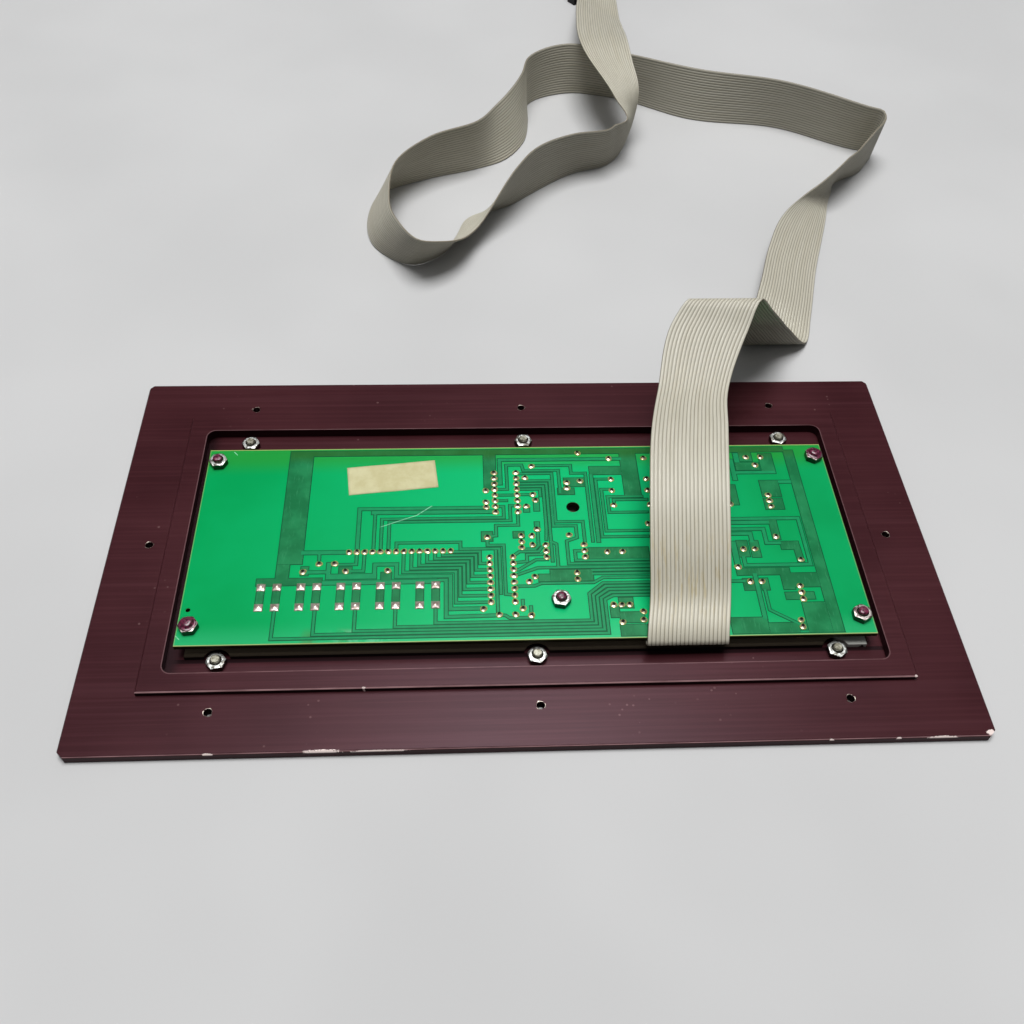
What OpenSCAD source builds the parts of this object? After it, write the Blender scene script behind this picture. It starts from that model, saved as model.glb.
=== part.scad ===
// Front display panel, lying face down. A machined bezel plate has a pocket in its back, and the
// pocket carries a circuit board with a character display, five push keys and a long flat cable.
// X runs along the panel, Y across it, and Z points out of its back. The front face is at z = 0,
// in millimetres, and the origin is the middle of the front face.

/* [Bezel plate] */
// Width of the flange at the two short sides
flange_side = 19; // [15:0.5:30]
// Width of the flange at the two long sides
flange_edge = 19.5; // [16:0.5:30]
// Thickness of the flange
flange_t = 3.2; // [2.4:0.1:5]
// Height of the raised rectangle above the flange
boss_step = 2; // [1:0.1:4]
// Wall between the edge of the raised rectangle and the pocket
boss_wall = 6.5; // [4:0.5:12]
// Thickness of the floor that the pocket leaves
floor_t = 1.6; // [1.4:0.1:2.4]
// Radius in the corners of the pocket
pocket_r = 3; // [1.5:0.5:6]
// Cut across the four corners of the plate
corner_cut = 2; // [1:0.5:8]
// Broken edge round the plate and the raised rectangle
edge_break = 0.4; // [0.2:0.1:0.8]
// Tapped hole in the flange, drilled size
tapped_d = 2.5; // [2:0.1:4]
// Tapped holes, in from the short sides
tapped_side = 13; // [8:0.5:14]
// Tapped holes, in from the long sides
tapped_edge = 13.5; // [8:0.5:15]

/* [Circuit board] */
// Length of the board
board_l = 216.5; // [208:0.5:240]
// Width of the board
board_w = 81; // [80:0.5:100]
// Thickness of the board
board_t = 1.6; // [1:0.1:2.4]
// Gap between the ends of the board and the pocket
end_gap = 3.25; // [2:0.25:8]
// Free strip of the pocket beyond the far edge of the board
far_strip = 12.6; // [9:0.1:20]
// Free strip of the pocket in front of the near edge of the board
near_strip = 7.4; // [7:0.1:15]
// Height of the board above the floor of the pocket
stand_off = 5; // [5:0.5:9]
// Corner holes of the board, in from its ends
corner_hole_side = 3.75; // [3.5:0.25:6]
// Corner holes of the board, in from its long edges
corner_hole_edge = 6.5; // [4:0.5:10]
// Fifth fixing hole, from the middle of the board
fifth_hole_x = 10.2; // [7:0.1:14]
// Fifth fixing hole, from the near edge
fifth_hole_y = 14.1; // [11:0.1:17]
// Plain hole in the board, from the middle
plain_hole_x = 17; // [14:0.5:22]
// Plain hole in the board, from the near edge
plain_hole_y = 52.9; // [44:0.1:56]
// Plain hole in the board, size
plain_hole_d = 4.5; // [2:0.1:6]
// Tooling hole in the board, in from its left end
tooling_x = 2.45; // [2:0.05:4]
// Tooling hole in the board, in from its near edge
tooling_y = 13.2; // [12:0.1:24]
// Tooling hole in the board, size
tooling_d = 1.5; // [1:0.1:2]

/* [Fasteners] */
// Screw thread
screw_d = 3; // [2.5:0.1:3]
// Clearance round a screw in its hole
screw_gap = 0.15; // [0.1:0.05:0.3]
// Nut across its flats
nut_af = 5.5; // [5:0.1:6]
// Nut height
nut_h = 2.4; // [2:0.1:3]
// Screw end that stands out of a nut
screw_out = 1; // [0.5:0.1:2]
// Countersunk head, across
head_d = 5.4; // [4.8:0.1:6]
// Countersunk head, height
head_h = 1.2; // [0.9:0.1:1.3]
// Spacer tube, outside
spacer_d = 5.5; // [4.8:0.1:6]
// Outer screw columns, from the middle of the panel
column_x = 96; // [80:1:100]
// Middle screw column, from the middle of the panel
middle_x = 2; // [-4:0.5:6]
// Floor nuts, in from the long walls of the pocket
floor_nut_in = 4.9; // [4:0.1:6]

/* [Window sheet] */
// Thickness of the sheet
sheet_t = 1.5; // [1:0.1:1.6]
// How far the ends of the sheet stay inside the ends of the board
sheet_end = 2.25; // [1:0.25:6]
// How far the sheet stands out in front of the board
sheet_out = 0.7; // [0:0.1:1.2]
// Free ring round a nut or a spacer
sheet_relief = 1.2; // [0.8:0.1:2]

/* [Display module] */
// Middle of the display, from the middle of the panel
display_x = -56.8; // [-60:0.1:-54]
// Near edge of its board, from the near edge of the main board
display_y = 32.4; // [31:0.1:36]
// Length of its board
display_l = 80; // [76:0.5:82]
// Width of its board
display_w = 36; // [34:0.5:40]
// Thickness of its board
display_t = 1; // [0.8:0.1:1.2]
// Length of its metal frame
frame_l = 71.2; // [68:0.1:74]
// Width of its metal frame
frame_w = 25.2; // [24:0.1:27]
// Height of its metal frame
frame_h = 4.2; // [3.8:0.1:4.4]
// Sheet metal of the frame
frame_t = 0.5; // [0.3:0.1:0.8]
// Viewing window, length
view_l = 64.5; // [60:0.5:66]
// Viewing window, width
view_w = 16.4; // [14:0.1:18]
// Display glass, both plates together
glass_t = 2.2; // [1.6:0.1:2.4]
// Clearance round the glass in its frame
glass_gap = 0.2; // [0.1:0.05:0.4]
// Contact strips between the glass and the board, width
strip_w = 2; // [1.5:0.1:2.5]
// Gap behind the display's board, for its moulded chips
chip_space = 1.1; // [0.9:0.1:1.4]
// Moulded chips, across
dome_d = 14; // [12:0.5:16]
// Moulded chips, from the middle of the display
dome_x = 16; // [14:0.5:20]
// Clearance of the frame in the plate
frame_gap = 0.4; // [0.2:0.1:0.8]
// Last pin of the header, in from the end of the display's board
header_in = 7.67; // [6:0.01:10]
// Row of the header, in from the near edge of the display's board
header_up = 2.5; // [2:0.1:3]

/* [Push keys] */
// Distance from key to key
key_pitch = 12.5; // [12.2:0.1:13]
// Middle of the key row, from the near edge of the board
key_y = 17.35; // [16:0.05:19]
// Side of a key housing
key_side = 12; // [11:0.1:12]
// Key cap, across
cap_d = 7; // [5:0.1:7.5]
// Collar that holds the cap in its housing
collar_d = 8.8; // [8.3:0.1:9.6]
// Collar height
collar_h = 1; // [0.8:0.1:1.2]
// Lip of the housing under the collar
lip_t = 0.8; // [0.6:0.1:1]
// Clearance round the moving cap
key_gap = 0.3; // [0.2:0.05:0.4]
// How far a cap sits back from the front face
cap_recess = 0.2; // [0.1:0.1:0.6]
// Broken edge of a cap
cap_edge = 0.3; // [0.1:0.1:0.5]
// Travel of a key
key_travel = 0.4; // [0.25:0.05:0.5]
// Pads of a key, apart along the row
pad_dx = 5; // [4.5:0.1:6]
// Pads of a key, apart across the row
pad_dy = 7.7; // [7:0.1:9]
// Side of a square solder pad
pad_side = 2.6; // [2:0.1:3]

/* [Flat cable] */
// Width of the cable
cable_w = 25.4; // [24.6:0.1:25.8]
// Thickness of the cable
cable_t = 0.8; // [0.6:0.1:0.9]
// Middle of the cable where it leaves the board
cable_x = 48.4; // [48:0.1:51]
// Board connector, middle from the near edge of the board
plug_y = 24.6; // [22:0.1:26]
// Board connector, length along its row
plug_l = 30.4; // [29:0.1:31]
// Board connector, width
plug_w = 6; // [5.5:0.1:7]
// Clamping cap of the board connector, height
plug_cap_h = 1.8; // [1.4:0.1:2]
// Height of the cable's middle below the board at the connector
plug_drop = 2.5; // [2.3:0.1:2.8]
// End socket, length along its row
socket_l = 32.4; // [31:0.1:34]
// End socket, depth
socket_w = 6.1; // [5.5:0.1:7]
// End socket body, height
socket_h = 7.1; // [6.5:0.1:7.1]
// End socket cap, height
socket_cap_h = 2.6; // [2:0.1:4]

/* [Parts under the board] */
// Driver chip body, width
chip_w = 6.35; // [6:0.05:6.6]
// Driver chip body, length
chip_l = 19.6; // [19:0.1:20.2]
// Driver chip body, height
chip_h = 2.9; // [2.6:0.1:3]
// Gap between a driver chip and the board
chip_gap = 0.4; // [0.3:0.1:0.5]
// Rows of a driver chip, apart
chip_rows = 7.62; // [7.4:0.01:7.8]
// Legs of a driver chip, width
leg_w = 0.6; // [0.4:0.1:1]
// Legs of a driver chip, thickness
leg_t = 0.25; // [0.2:0.05:0.4]
// Small parts, height under the board
small_h = 3.1; // [2.4:0.1:3.2]
// Resistor body, length
resistor_l = 6.3; // [5:0.1:7]
// Resistor body, across
resistor_d = 2.3; // [1.8:0.1:2.5]
// Capacitor body, thickness
capacitor_t = 2.2; // [1.6:0.1:2.4]
// Transistor body, length
transistor_l = 4.8; // [4.2:0.1:5]
// Transistor body, width
transistor_w = 4.6; // [4.2:0.1:5]
// Contrast trimmer, length
trimmer_l = 6.6; // [6:0.1:7]
// Contrast trimmer, width
trimmer_w = 7; // [6:0.1:7.4]
// Leads of the small parts, thickness
lead_d = 0.6; // [0.4:0.1:0.8]

/* [Solder and label] */
// Height of a solder joint
joint_h = 0.9; // [0.4:0.1:1.2]
// Solder joint, across
joint_d = 1.5; // [1:0.1:1.8]
// Label, length
label_l = 30.5; // [20:0.5:40]
// Label, width
label_w = 12.6; // [8:0.1:16]
// Middle of the label, from the middle of the panel
label_x = -44.4; // [-50:0.1:-40]
// Middle of the label, from the near edge of the board
label_y = 67.2; // [60:0.1:70]
// Label, turned by
label_turn = 6; // [0:1:12]
// Label, thickness
label_t = 0.1; // [0.1:0.05:0.2]

/* [Hidden] */
$fn = 48;
pitch = 2.54;
eps = 0.5;
pocket_l = board_l + 2 * end_gap;
pocket_w = board_w + far_strip + near_strip;
boss_l = pocket_l + 2 * boss_wall;
boss_w = pocket_w + 2 * boss_wall;
boss_top = flange_t + boss_step;
plate_l = boss_l + 2 * flange_side;
plate_w = boss_w + 2 * flange_edge;
near_y = -pocket_w / 2 + near_strip;
board_z = floor_t + stand_off;
board_top = board_z + board_t;
hole_d = screw_d + 2 * screw_gap;
sheet_top = floor_t + sheet_t;
board_holes = [
    for (x = [-1, 1], y = [corner_hole_edge, board_w - corner_hole_edge])
        [x * (board_l / 2 - corner_hole_side), near_y + y],
    [fifth_hole_x, near_y + fifth_hole_y]
];
floor_holes = [
    for (x = [-column_x, middle_x, column_x], y = [-1, 1])
        [x, y * (pocket_w / 2 - floor_nut_in)]
];
// How far each nut is turned, in the order of its hole
floor_nut_turns = [12, 2, -13, 0, -25, -22];
board_nut_turns = [6, 5, 28, 30, -12];
flange_holes = [
    for (x = [-column_x, middle_x, column_x], y = [-1, 1])
        [x, y * (plate_w / 2 - tapped_edge)],
    for (x = [-1, 1]) [x * (plate_l / 2 - tapped_side), 0]
];
display_z = board_z - chip_space - display_t;
frame_z = display_z - frame_h;
display_mid = near_y + display_y + display_w / 2;
header_x = display_x + display_l / 2 - header_in;
header_y = near_y + display_y + header_up;
keys = [for (i = [-2:2]) [display_x + i * key_pitch, near_y + key_y]];
key_seat = 0.1;
key_z = sheet_top + key_seat;
key_h = board_z - key_z;
housing_bore = collar_d + 2 * key_gap;
cap_hole = cap_d + 2 * key_gap;
chips = [[-5.52, 59.92], [-8.05, 23.13]];
chip_pins = 8;
plug_z = board_z - plug_drop;
socket_turn = 35;
socket_at = [49, 399.8];
socket_slot = 1;

// Where the small parts sit under the board: x from the middle, y from the near edge
resistors = [
    [37.6, 75.1, 12.4], [37.4, 65.3, 12.4], [37.2, 60.1, 12.4], [37.2, 53.5, 12.4], [-64.9, 27.2, 13.6]
];
capacitors = [
    [29.3, 33.5, 5, 0], [16.2, 23.9, 2.54, 90], [74, 33.8, 3.8, 0], [73.8, 20.5, 3.8, 0],
    [85.2, 4.2, 2.54, 90], [-64.3, 30.3, 5, 0]
];
transistors = [[6.8, 34.2, 180], [19.4, 34.1, 180], [85, 54.6, 0], [29.3, 12.4, 90], [87.7, 16, 0]];
trimmer_at = [83.1, 73.6];
// Joints of leads and through-holes that belong to no part above
lone_joints = [
    [-44.7, 27.2], [-12.4, 60.7], [-12.4, 55.5], [-12.4, 53.3], [3.9, 71.8], [1.3, 66.4], [3.7, 58.7],
    [4.4, 56.1], [1.2, 53.5], [-14.3, 11.7], [-9.4, 9.4], [-4.3, 9.4], [-1.9, 11.6], [0.6, 9], [0.6, 22],
    [2.5, 23.9], [-12.4, 40.3], [4.3, 43.4], [-1.2, 40.8], [2.4, 40.7], [-1.1, 38.2], [-1.2, 35.8],
    [2.4, 36.9], [15.7, 63.9], [15.6, 61.4], [20.4, 64.6], [20.6, 77.8], [41.8, 45.2], [14.8, 40.8],
    [28.9, 5.8], [35.9, 9.7], [35.6, 6.6], [84, 38.9], [90.3, 29.1], [69, 26.5], [71.1, 53.4]
];

// Route of the flat cable once it has turned round the board: both edges, left then right
cable_route = [
    [[37.2, -33.3, 14], [62.5, -33.5, 14]], [[37.4, -21.5, 24], [62.7, -21.7, 24]],
    [[38, -7.8, 32], [63.3, -8.2, 32]], [[41.2, 18.3, 36.5], [66.5, 18, 36.5]],
    [[46, 38, 35.5], [70.8, 40, 34.5]], [[54.4, 64.9, 45], [79.8, 60.5, 42]],
    [[59.2, 70.3, 48], [85.9, 70.5, 48]], [[65.2, 73, 42.5], [90.8, 72.1, 42]],
    [[71.6, 78.5, 33], [97.2, 76.9, 33]], [[78.9, 89.9, 20], [106.2, 89.8, 18]],
    [[93, 101, 1.2], [120, 101.5, 1.2]], [[103, 124.7, 10.8], [125.3, 117.9, 1]],
    [[112.4, 151.8, 11.1], [135.8, 152.5, 1]], [[119.8, 168.4, 12.4], [142.4, 171.1, 1]],
    [[126.1, 178.2, 12.2], [147.5, 185.8, 1]], [[135.6, 187.8, 13.1], [152.7, 202.3, 1]],
    [[144.6, 193.7, 16.2], [155.4, 208.6, 1]], [[153.6, 199.6, 21.3], [157.6, 215, 1]],
    [[158, 204.4, 21.9], [162.6, 219.2, 0.8]], [[162.4, 208.7, 21.8], [167.8, 222.2, 0.6]],
    [[167.8, 215.3, 22.7], [173.5, 226.7, 0.6]], [[175.5, 224.7, 24.3], [178.4, 233.6, 0.6]],
    [[181.8, 233.3, 24.7], [182.5, 240.6, 0.6]], [[182.2, 238.6, 25.4], [182.2, 244.6, 0.6]],
    [[175.7, 243.2, 25.4], [176.5, 246.6, 0.6]], [[140.8, 266.1, 25.4], [140.9, 266.6, 0.6]],
    [[99.8, 277.6, 25.4], [98.8, 274.2, 0.6]], [[58.7, 295.1, 25.6], [58.9, 295.8, 0.6]],
    [[36.4, 302.5, 25.4], [37, 299.5, 0.6]], [[15.6, 287.8, 25.6], [15.8, 287.4, 0.6]],
    [[11.8, 273.4, 25.2], [15.1, 271.5, 0.6]], [[4.2, 255.5, 24.5], [11.7, 250.9, 0.6]],
    [[-1.9, 245.5, 23.6], [0.6, 234.6, 0.6]], [[-10.7, 228.1, 25.6], [-11.1, 228.5, 0.6]],
    [[-32.9, 214.5, 25.4], [-35, 219.6, 0.6]], [[-47.6, 197.7, 23], [-55.8, 206.8, 0.6]],
    [[-50, 178.3, 20.1], [-60.6, 190.7, 0.6]], [[-46.3, 156.7, 22.3], [-56.4, 165.8, 0.8]],
    [[-35.7, 140.9, 23], [-39.2, 153.8, 1.5]], [[-26.7, 144.5, 19.2], [-27.1, 162.1, 0.8]],
    [[-19.3, 152, 14.9], [-21.5, 173.1, 0.8]], [[-13.5, 163, 11.2], [-16.9, 185.8, 0.8]],
    [[5.7, 190.8, 24.8], [3.6, 198.7, 0.6]], [[14.1, 203.9, 25.8], [12.2, 206.6, 0.6]],
    [[33, 218.5, 24.8], [33.4, 224.2, 0.6]], [[49.8, 223.9, 24.1], [52.7, 233.4, 0.6]],
    [[54.2, 229.7, 23.5], [57.9, 241, 1]], [[58.2, 230.8, 24.4], [63, 249, 7]],
    [[53.6, 242.1, 29], [67, 256.7, 24]], [[42.5, 275.7, 33], [64.9, 274.1, 31.5]],
    [[43.2, 335.8, 24], [68.1, 333.4, 19]], [[46.7, 366.7, 18], [70.4, 363.1, 10]],
];

// Block on z = 0 with its long edges broken, at the top and if asked below
module broken_block(l, w, h, below) {
    intersection() {
        rotate([90, 0, 90]) linear_extrude(l, center = true) broken_profile(w / 2, h, below);
        rotate([90, 0, 0]) linear_extrude(w, center = true) broken_profile(l / 2, h, below);
    }
}
module broken_profile(half, h, below) {
    b = below ? edge_break : 0;
    polygon([
        [-half + b, 0], [half - b, 0], [half, b], [half, h - edge_break], [half - edge_break, h],
        [-half + edge_break, h], [-half, h - edge_break], [-half, b]
    ]);
}
module cut_corners(l, w, cut) {
    polygon([
        [-l / 2 + cut, -w / 2], [l / 2 - cut, -w / 2], [l / 2, -w / 2 + cut], [l / 2, w / 2 - cut],
        [l / 2 - cut, w / 2], [-l / 2 + cut, w / 2], [-l / 2, w / 2 - cut], [-l / 2, -w / 2 + cut]
    ]);
}
module rounded_area(l, w, r) {
    square([l - 2 * r, w], center = true);
    square([l, w - 2 * r], center = true);
    for (x = [-1, 1], y = [-1, 1]) translate([x * (l / 2 - r), y * (w / 2 - r)]) circle(r);
}
// Countersunk hole from the front face, and the screw head that fills it
module countersink(gap) {
    translate([0, 0, gap > 0 ? 0 : 0.1]) {
        cylinder(d1 = head_d + 2 * gap, d2 = screw_d + 2 * gap, h = head_h);
    }
}
module screw(end) {
    countersink(0);
    translate([0, 0, head_h]) cylinder(d = screw_d, h = end - head_h - 0.3);
    translate([0, 0, end - 0.3]) cylinder(d1 = screw_d, d2 = screw_d - 0.6, h = 0.3);
}
// Hexagon nut with both faces chamfered
module nut(turn) {
    corner = nut_af / cos(30);
    flat_r = nut_af / 2 - 0.05;
    chamfer = 0.4;
    difference() {
        intersection() {
            rotate(turn) cylinder(d = corner, h = nut_h, $fn = 6);
            rotate_extrude() polygon([
                [0, 0], [flat_r, 0], [corner / 2 + 0.2, chamfer], [corner / 2 + 0.2, nut_h - chamfer],
                [flat_r, nut_h], [0, nut_h]
            ]);
        }
        translate([0, 0, -eps]) cylinder(d = screw_d + 0.2, h = nut_h + 2 * eps);
    }
}
module at_points(points) {
    for (p = points) translate([p.x, p.y, 0]) children();
}

module bezel_plate() {
    color([0.31, 0.17, 0.19]) difference() {
        union() {
            intersection() {
                broken_block(plate_l, plate_w, flange_t, true);
                linear_extrude(flange_t) cut_corners(plate_l, plate_w, corner_cut);
            }
            broken_block(boss_l, boss_w, boss_top, false);
        }
        translate([0, 0, floor_t]) linear_extrude(boss_top) rounded_area(pocket_l, pocket_w, pocket_r);
        translate([display_x, display_mid, -eps]) linear_extrude(boss_top)
            square([frame_l + 2 * frame_gap, frame_w + 2 * frame_gap], center = true);
        at_points(keys) translate([0, 0, -eps]) cylinder(d = cap_hole, h = boss_top);
        at_points(concat(floor_holes, board_holes)) {
            countersink(screw_gap);
            translate([0, 0, -eps]) cylinder(d = hole_d, h = boss_top);
        }
        at_points(flange_holes) translate([0, 0, -eps]) cylinder(d = tapped_d, h = boss_top);
    }
}
module front_screws() {
    color("silver") at_points(floor_holes) screw(floor_t + nut_h + screw_out);
}
module floor_nuts() {
    color("silver") translate([0, 0, floor_t]) for (i = [0:5])
        translate([floor_holes[i].x, floor_holes[i].y, 0]) nut(floor_nut_turns[i]);
}
module window_sheet() {
    sheet_l = board_l - 2 * sheet_end;
    sheet_w = board_w;
    color([0.07, 0.06, 0.06]) difference() {
        translate([0, near_y - sheet_out + sheet_w / 2, floor_t]) linear_extrude(sheet_t)
            square([sheet_l, sheet_w], center = true);
        translate([display_x, display_mid, 0]) linear_extrude(sheet_top + eps)
            square([frame_l + 2 * frame_gap, frame_w + 2 * frame_gap], center = true);
        at_points(keys) cylinder(d = cap_hole, h = sheet_top + eps);
        at_points(board_holes) cylinder(d = spacer_d + 2 * sheet_relief, h = sheet_top + eps);
        at_points(floor_holes) cylinder(d = nut_af / cos(30) + 2 * sheet_relief, h = sheet_top + eps);
        translate([cable_x, near_y + plug_y, 0]) linear_extrude(sheet_top + eps)
            square([plug_l + 2 * frame_gap, plug_w + 2 * frame_gap], center = true);
    }
}
module board_screws() {
    color("silver") at_points(board_holes) screw(board_top + nut_h + screw_out);
}
module board_spacers() {
    color("lightgray") at_points(board_holes) translate([0, 0, floor_t]) difference() {
        cylinder(d = spacer_d, h = stand_off);
        translate([0, 0, -eps]) cylinder(d = hole_d, h = stand_off + 2 * eps);
    }
}
module board_nuts() {
    color("silver") translate([0, 0, board_top]) for (i = [0:4])
        translate([board_holes[i].x, board_holes[i].y, 0]) nut(board_nut_turns[i]);
}
module main_board() {
    color([0.1, 0.62, 0.38]) difference() {
        translate([-board_l / 2, near_y, board_z]) cube([board_l, board_w, board_t]);
        at_points(board_holes) cylinder(d = hole_d, h = board_top + eps);
        translate([plain_hole_x, near_y + plain_hole_y, 0]) cylinder(d = plain_hole_d, h = board_top + eps);
        translate([tooling_x - board_l / 2, near_y + tooling_y, 0])
            cylinder(d = tooling_d, h = board_top + eps);
    }
}

// One solder joint stands on the board for each lead
module joint(x, y) {
    translate([x, y, board_top]) cylinder(d = joint_d, h = joint_h, $fn = 8);
}
module solder_joints() {
    color([0.85, 0.83, 0.76]) {
        for (i = [0:13]) joint(header_x - i * pitch, header_y);
        for (c = chips, s = [-1, 1], i = [0:chip_pins - 1])
            joint(c.x + s * chip_rows / 2, near_y + c.y + (i - (chip_pins - 1) / 2) * pitch);
        for (r = resistors, s = [-1, 1]) joint(r.x + s * r.z / 2, near_y + r.y);
        for (c = capacitors, s = [-1, 1])
            joint(c.x + s * c[2] / 2 * cos(c[3]), near_y + c.y + s * c[2] / 2 * sin(c[3]));
        for (t = transistors, i = [-1:1])
            joint(t.x - i * pitch * sin(t.z), near_y + t.y + i * pitch * cos(t.z));
        for (d = [[-2.6, 1.4], [2.6, 1.4], [0, -2.4]])
            joint(trimmer_at.x + d.x, near_y + trimmer_at.y + d.y);
        for (j = lone_joints) joint(j.x, near_y + j.y);
    }
}
module key_pads() {
    color([0.85, 0.83, 0.8]) for (k = keys, x = [-1, 1], y = [-1, 1])
        translate([k.x + x * pad_dx / 2, k.y + y * pad_dy / 2, board_top + joint_h / 4])
            cube([pad_side, pad_side, joint_h / 2], center = true);
}
module label() {
    color([0.78, 0.73, 0.58]) translate([label_x, near_y + label_y, board_top]) rotate(label_turn)
        linear_extrude(label_t) square([label_l, label_w], center = true);
}

// Sheet metal frame: a shallow tray round the glass with the viewing window in its front
module display_frame() {
    color([0.25, 0.25, 0.27]) translate([display_x, display_mid, frame_z]) difference() {
        linear_extrude(frame_h) square([frame_l, frame_w], center = true);
        translate([0, 0, frame_t]) linear_extrude(frame_h)
            square([frame_l - 2 * frame_t, frame_w - 2 * frame_t], center = true);
        translate([0, 0, -eps]) linear_extrude(frame_h) square([view_l, view_w], center = true);
    }
}
module display_glass() {
    inset = 2 * (frame_t + glass_gap);
    color([0.55, 0.62, 0.45, 0.9]) translate([display_x, display_mid, frame_z + frame_t])
        linear_extrude(glass_t) square([frame_l - inset, frame_w - inset], center = true);
}
module contact_strips() {
    strip_h = frame_h - frame_t - glass_t;
    off_middle = (frame_w - strip_w) / 2 - frame_t - 0.6;
    color([0.85, 0.45, 0.5]) for (s = [-1, 1])
        translate([display_x, display_mid + s * off_middle, display_z - strip_h])
            linear_extrude(strip_h) square([view_l, strip_w], center = true);
}
module display_board() {
    color([0.1, 0.4, 0.25]) translate([display_x, display_mid, display_z]) linear_extrude(display_t)
        square([display_l, display_w], center = true);
}
module display_chips() {
    r = dome_d / 2;
    top = chip_space - 0.3;
    color([0.08, 0.08, 0.08]) for (s = [-1, 1])
        translate([display_x + s * dome_x, display_mid, display_z + display_t])
            rotate_extrude() polygon([[0, 0], [r, 0], [r - top / 2, top / 2], [r - 2 * top, top], [0, top]]);
}
module display_header() {
    color("gold") for (i = [0:13]) translate([header_x - i * pitch, header_y, display_z + display_t])
        linear_extrude(chip_space) square(lead_d, center = true);
}

// Plastic bodies of the two driver chips, with the notch that marks their first pin
module driver_chips() {
    color([0.12, 0.12, 0.13]) for (c = chips)
        translate([c.x, near_y + c.y, board_z - chip_gap - chip_h]) difference() {
            linear_extrude(chip_h) square([chip_w, chip_l], center = true);
            translate([0, chip_l / 2, -eps]) cylinder(d = 2, h = 1 + eps);
        }
}
module chip_legs() {
    reach = (chip_rows - chip_w) / 2;
    half = leg_t / 2;
    color("silver") for (c = chips, s = [-1, 1], i = [0:chip_pins - 1])
        translate([c.x, near_y + c.y + (i - (chip_pins - 1) / 2) * pitch, board_z - chip_gap - chip_h / 2])
            mirror([s < 0 ? 1 : 0, 0, 0]) translate([chip_w / 2, 0, 0]) rotate([90, 0, 0])
                linear_extrude(leg_w, center = true) polygon([
                    [0, -half], [reach + half, -half], [reach + half, chip_gap + chip_h / 2],
                    [reach - half, chip_gap + chip_h / 2], [reach - half, half], [0, half]
                ]);
}

// Housings of the five keys: closed at the board, with a lip that keeps the cap's collar in
module key_housings() {
    color([0.1, 0.1, 0.11]) at_points(keys) translate([0, 0, key_z]) difference() {
        linear_extrude(key_h) square(key_side, center = true);
        translate([0, 0, -eps]) cylinder(d = cap_hole, h = key_h);
        translate([0, 0, lip_t]) cylinder(d = housing_bore, h = collar_h + key_travel + 0.3);
    }
}
module key_cap(k) {
    color([0.75, 0.75, 0.73]) translate([k.x, k.y, 0]) {
        translate([0, 0, cap_recess]) cylinder(d1 = cap_d - 2 * cap_edge, d2 = cap_d, h = cap_edge);
        translate([0, 0, cap_recess + cap_edge])
            cylinder(d = cap_d, h = key_z + lip_t - cap_recess - cap_edge);
        translate([0, 0, key_z + lip_t]) cylinder(d = collar_d, h = collar_h);
    }
}
module key_1() { key_cap(keys[0]); }
module key_2() { key_cap(keys[1]); }
module key_3() { key_cap(keys[2]); }
module key_4() { key_cap(keys[3]); }
module key_5() { key_cap(keys[4]); }

// Small parts lie along the underside of the board on their bent leads
module resistors() {
    color([0.72, 0.6, 0.42]) for (r = resistors) translate([r.x, near_y + r.y, board_z - small_h / 2]) {
        rotate([0, 90, 0]) cylinder(d = resistor_d, h = resistor_l, center = true);
        rotate([0, 90, 0]) cylinder(d = lead_d, h = r.z, center = true);
        for (s = [-1, 1]) translate([s * r.z / 2, 0, 0]) cylinder(d = lead_d, h = small_h / 2);
    }
}
module capacitors() {
    color([0.75, 0.45, 0.2]) for (c = capacitors) translate([c.x, near_y + c.y, board_z]) rotate(c[3]) {
        translate([0, 0, -small_h / 2 - 0.3])
            cube([c[2] + capacitor_t, capacitor_t, small_h - 0.6], center = true);
        for (s = [-1, 1]) translate([s * c[2] / 2, 0, -small_h / 2]) cylinder(d = lead_d, h = small_h / 2);
    }
}
module transistors() {
    // The outer leads spread from the body to the pitch of the holes
    spread = atan(pitch / 2 / 2);
    color([0.1, 0.1, 0.1]) for (t = transistors) translate([t.x, near_y + t.y, board_z]) rotate(t.z) {
        translate([2 + transistor_l / 2, 0, -small_h / 2 - 0.1])
            cube([transistor_l, transistor_w, small_h - 0.2], center = true);
        for (i = [-1:1]) translate([0, i * pitch, -small_h / 2]) {
            rotate([0, 90, -i * spread]) cylinder(d = lead_d, h = 2.4);
            cylinder(d = lead_d, h = small_h / 2);
        }
    }
}
module trimmer() {
    at = [trimmer_at.x, near_y + trimmer_at.y, board_z - small_h];
    color([0.2, 0.35, 0.7]) translate(at) difference() {
        linear_extrude(small_h) square([trimmer_l, trimmer_w], center = true);
        difference() {
            translate([0, 0, -eps]) cylinder(d = 5, h = 0.6 + eps);
            translate([0, 0, -eps]) cylinder(d = 4.2, h = 1 + eps);
        }
        translate([0, 0, -eps]) linear_extrude(1 + eps) square([3.4, 0.7], center = true);
    }
}

// Connector under the board: its base is soldered in, and its cap clamps the cable on the contacts
module board_plug() {
    base_h = plug_drop - cable_t / 2 - 0.05;
    color([0.12, 0.12, 0.12]) translate([cable_x, near_y + plug_y, board_z - base_h])
        linear_extrude(base_h) square([plug_l, plug_w], center = true);
}
module board_plug_cap() {
    slot = cable_t + 0.1;
    ear = (plug_l - cable_w) / 2 - 0.3;
    color([0.16, 0.16, 0.16]) translate([cable_x, near_y + plug_y, plug_z - slot / 2]) {
        translate([0, 0, -plug_cap_h]) linear_extrude(plug_cap_h) square([plug_l, plug_w], center = true);
        for (s = [-1, 1]) translate([s * (plug_l - ear) / 2, 0, -eps]) linear_extrude(slot + eps)
            square([ear, plug_w], center = true);
    }
}

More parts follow.
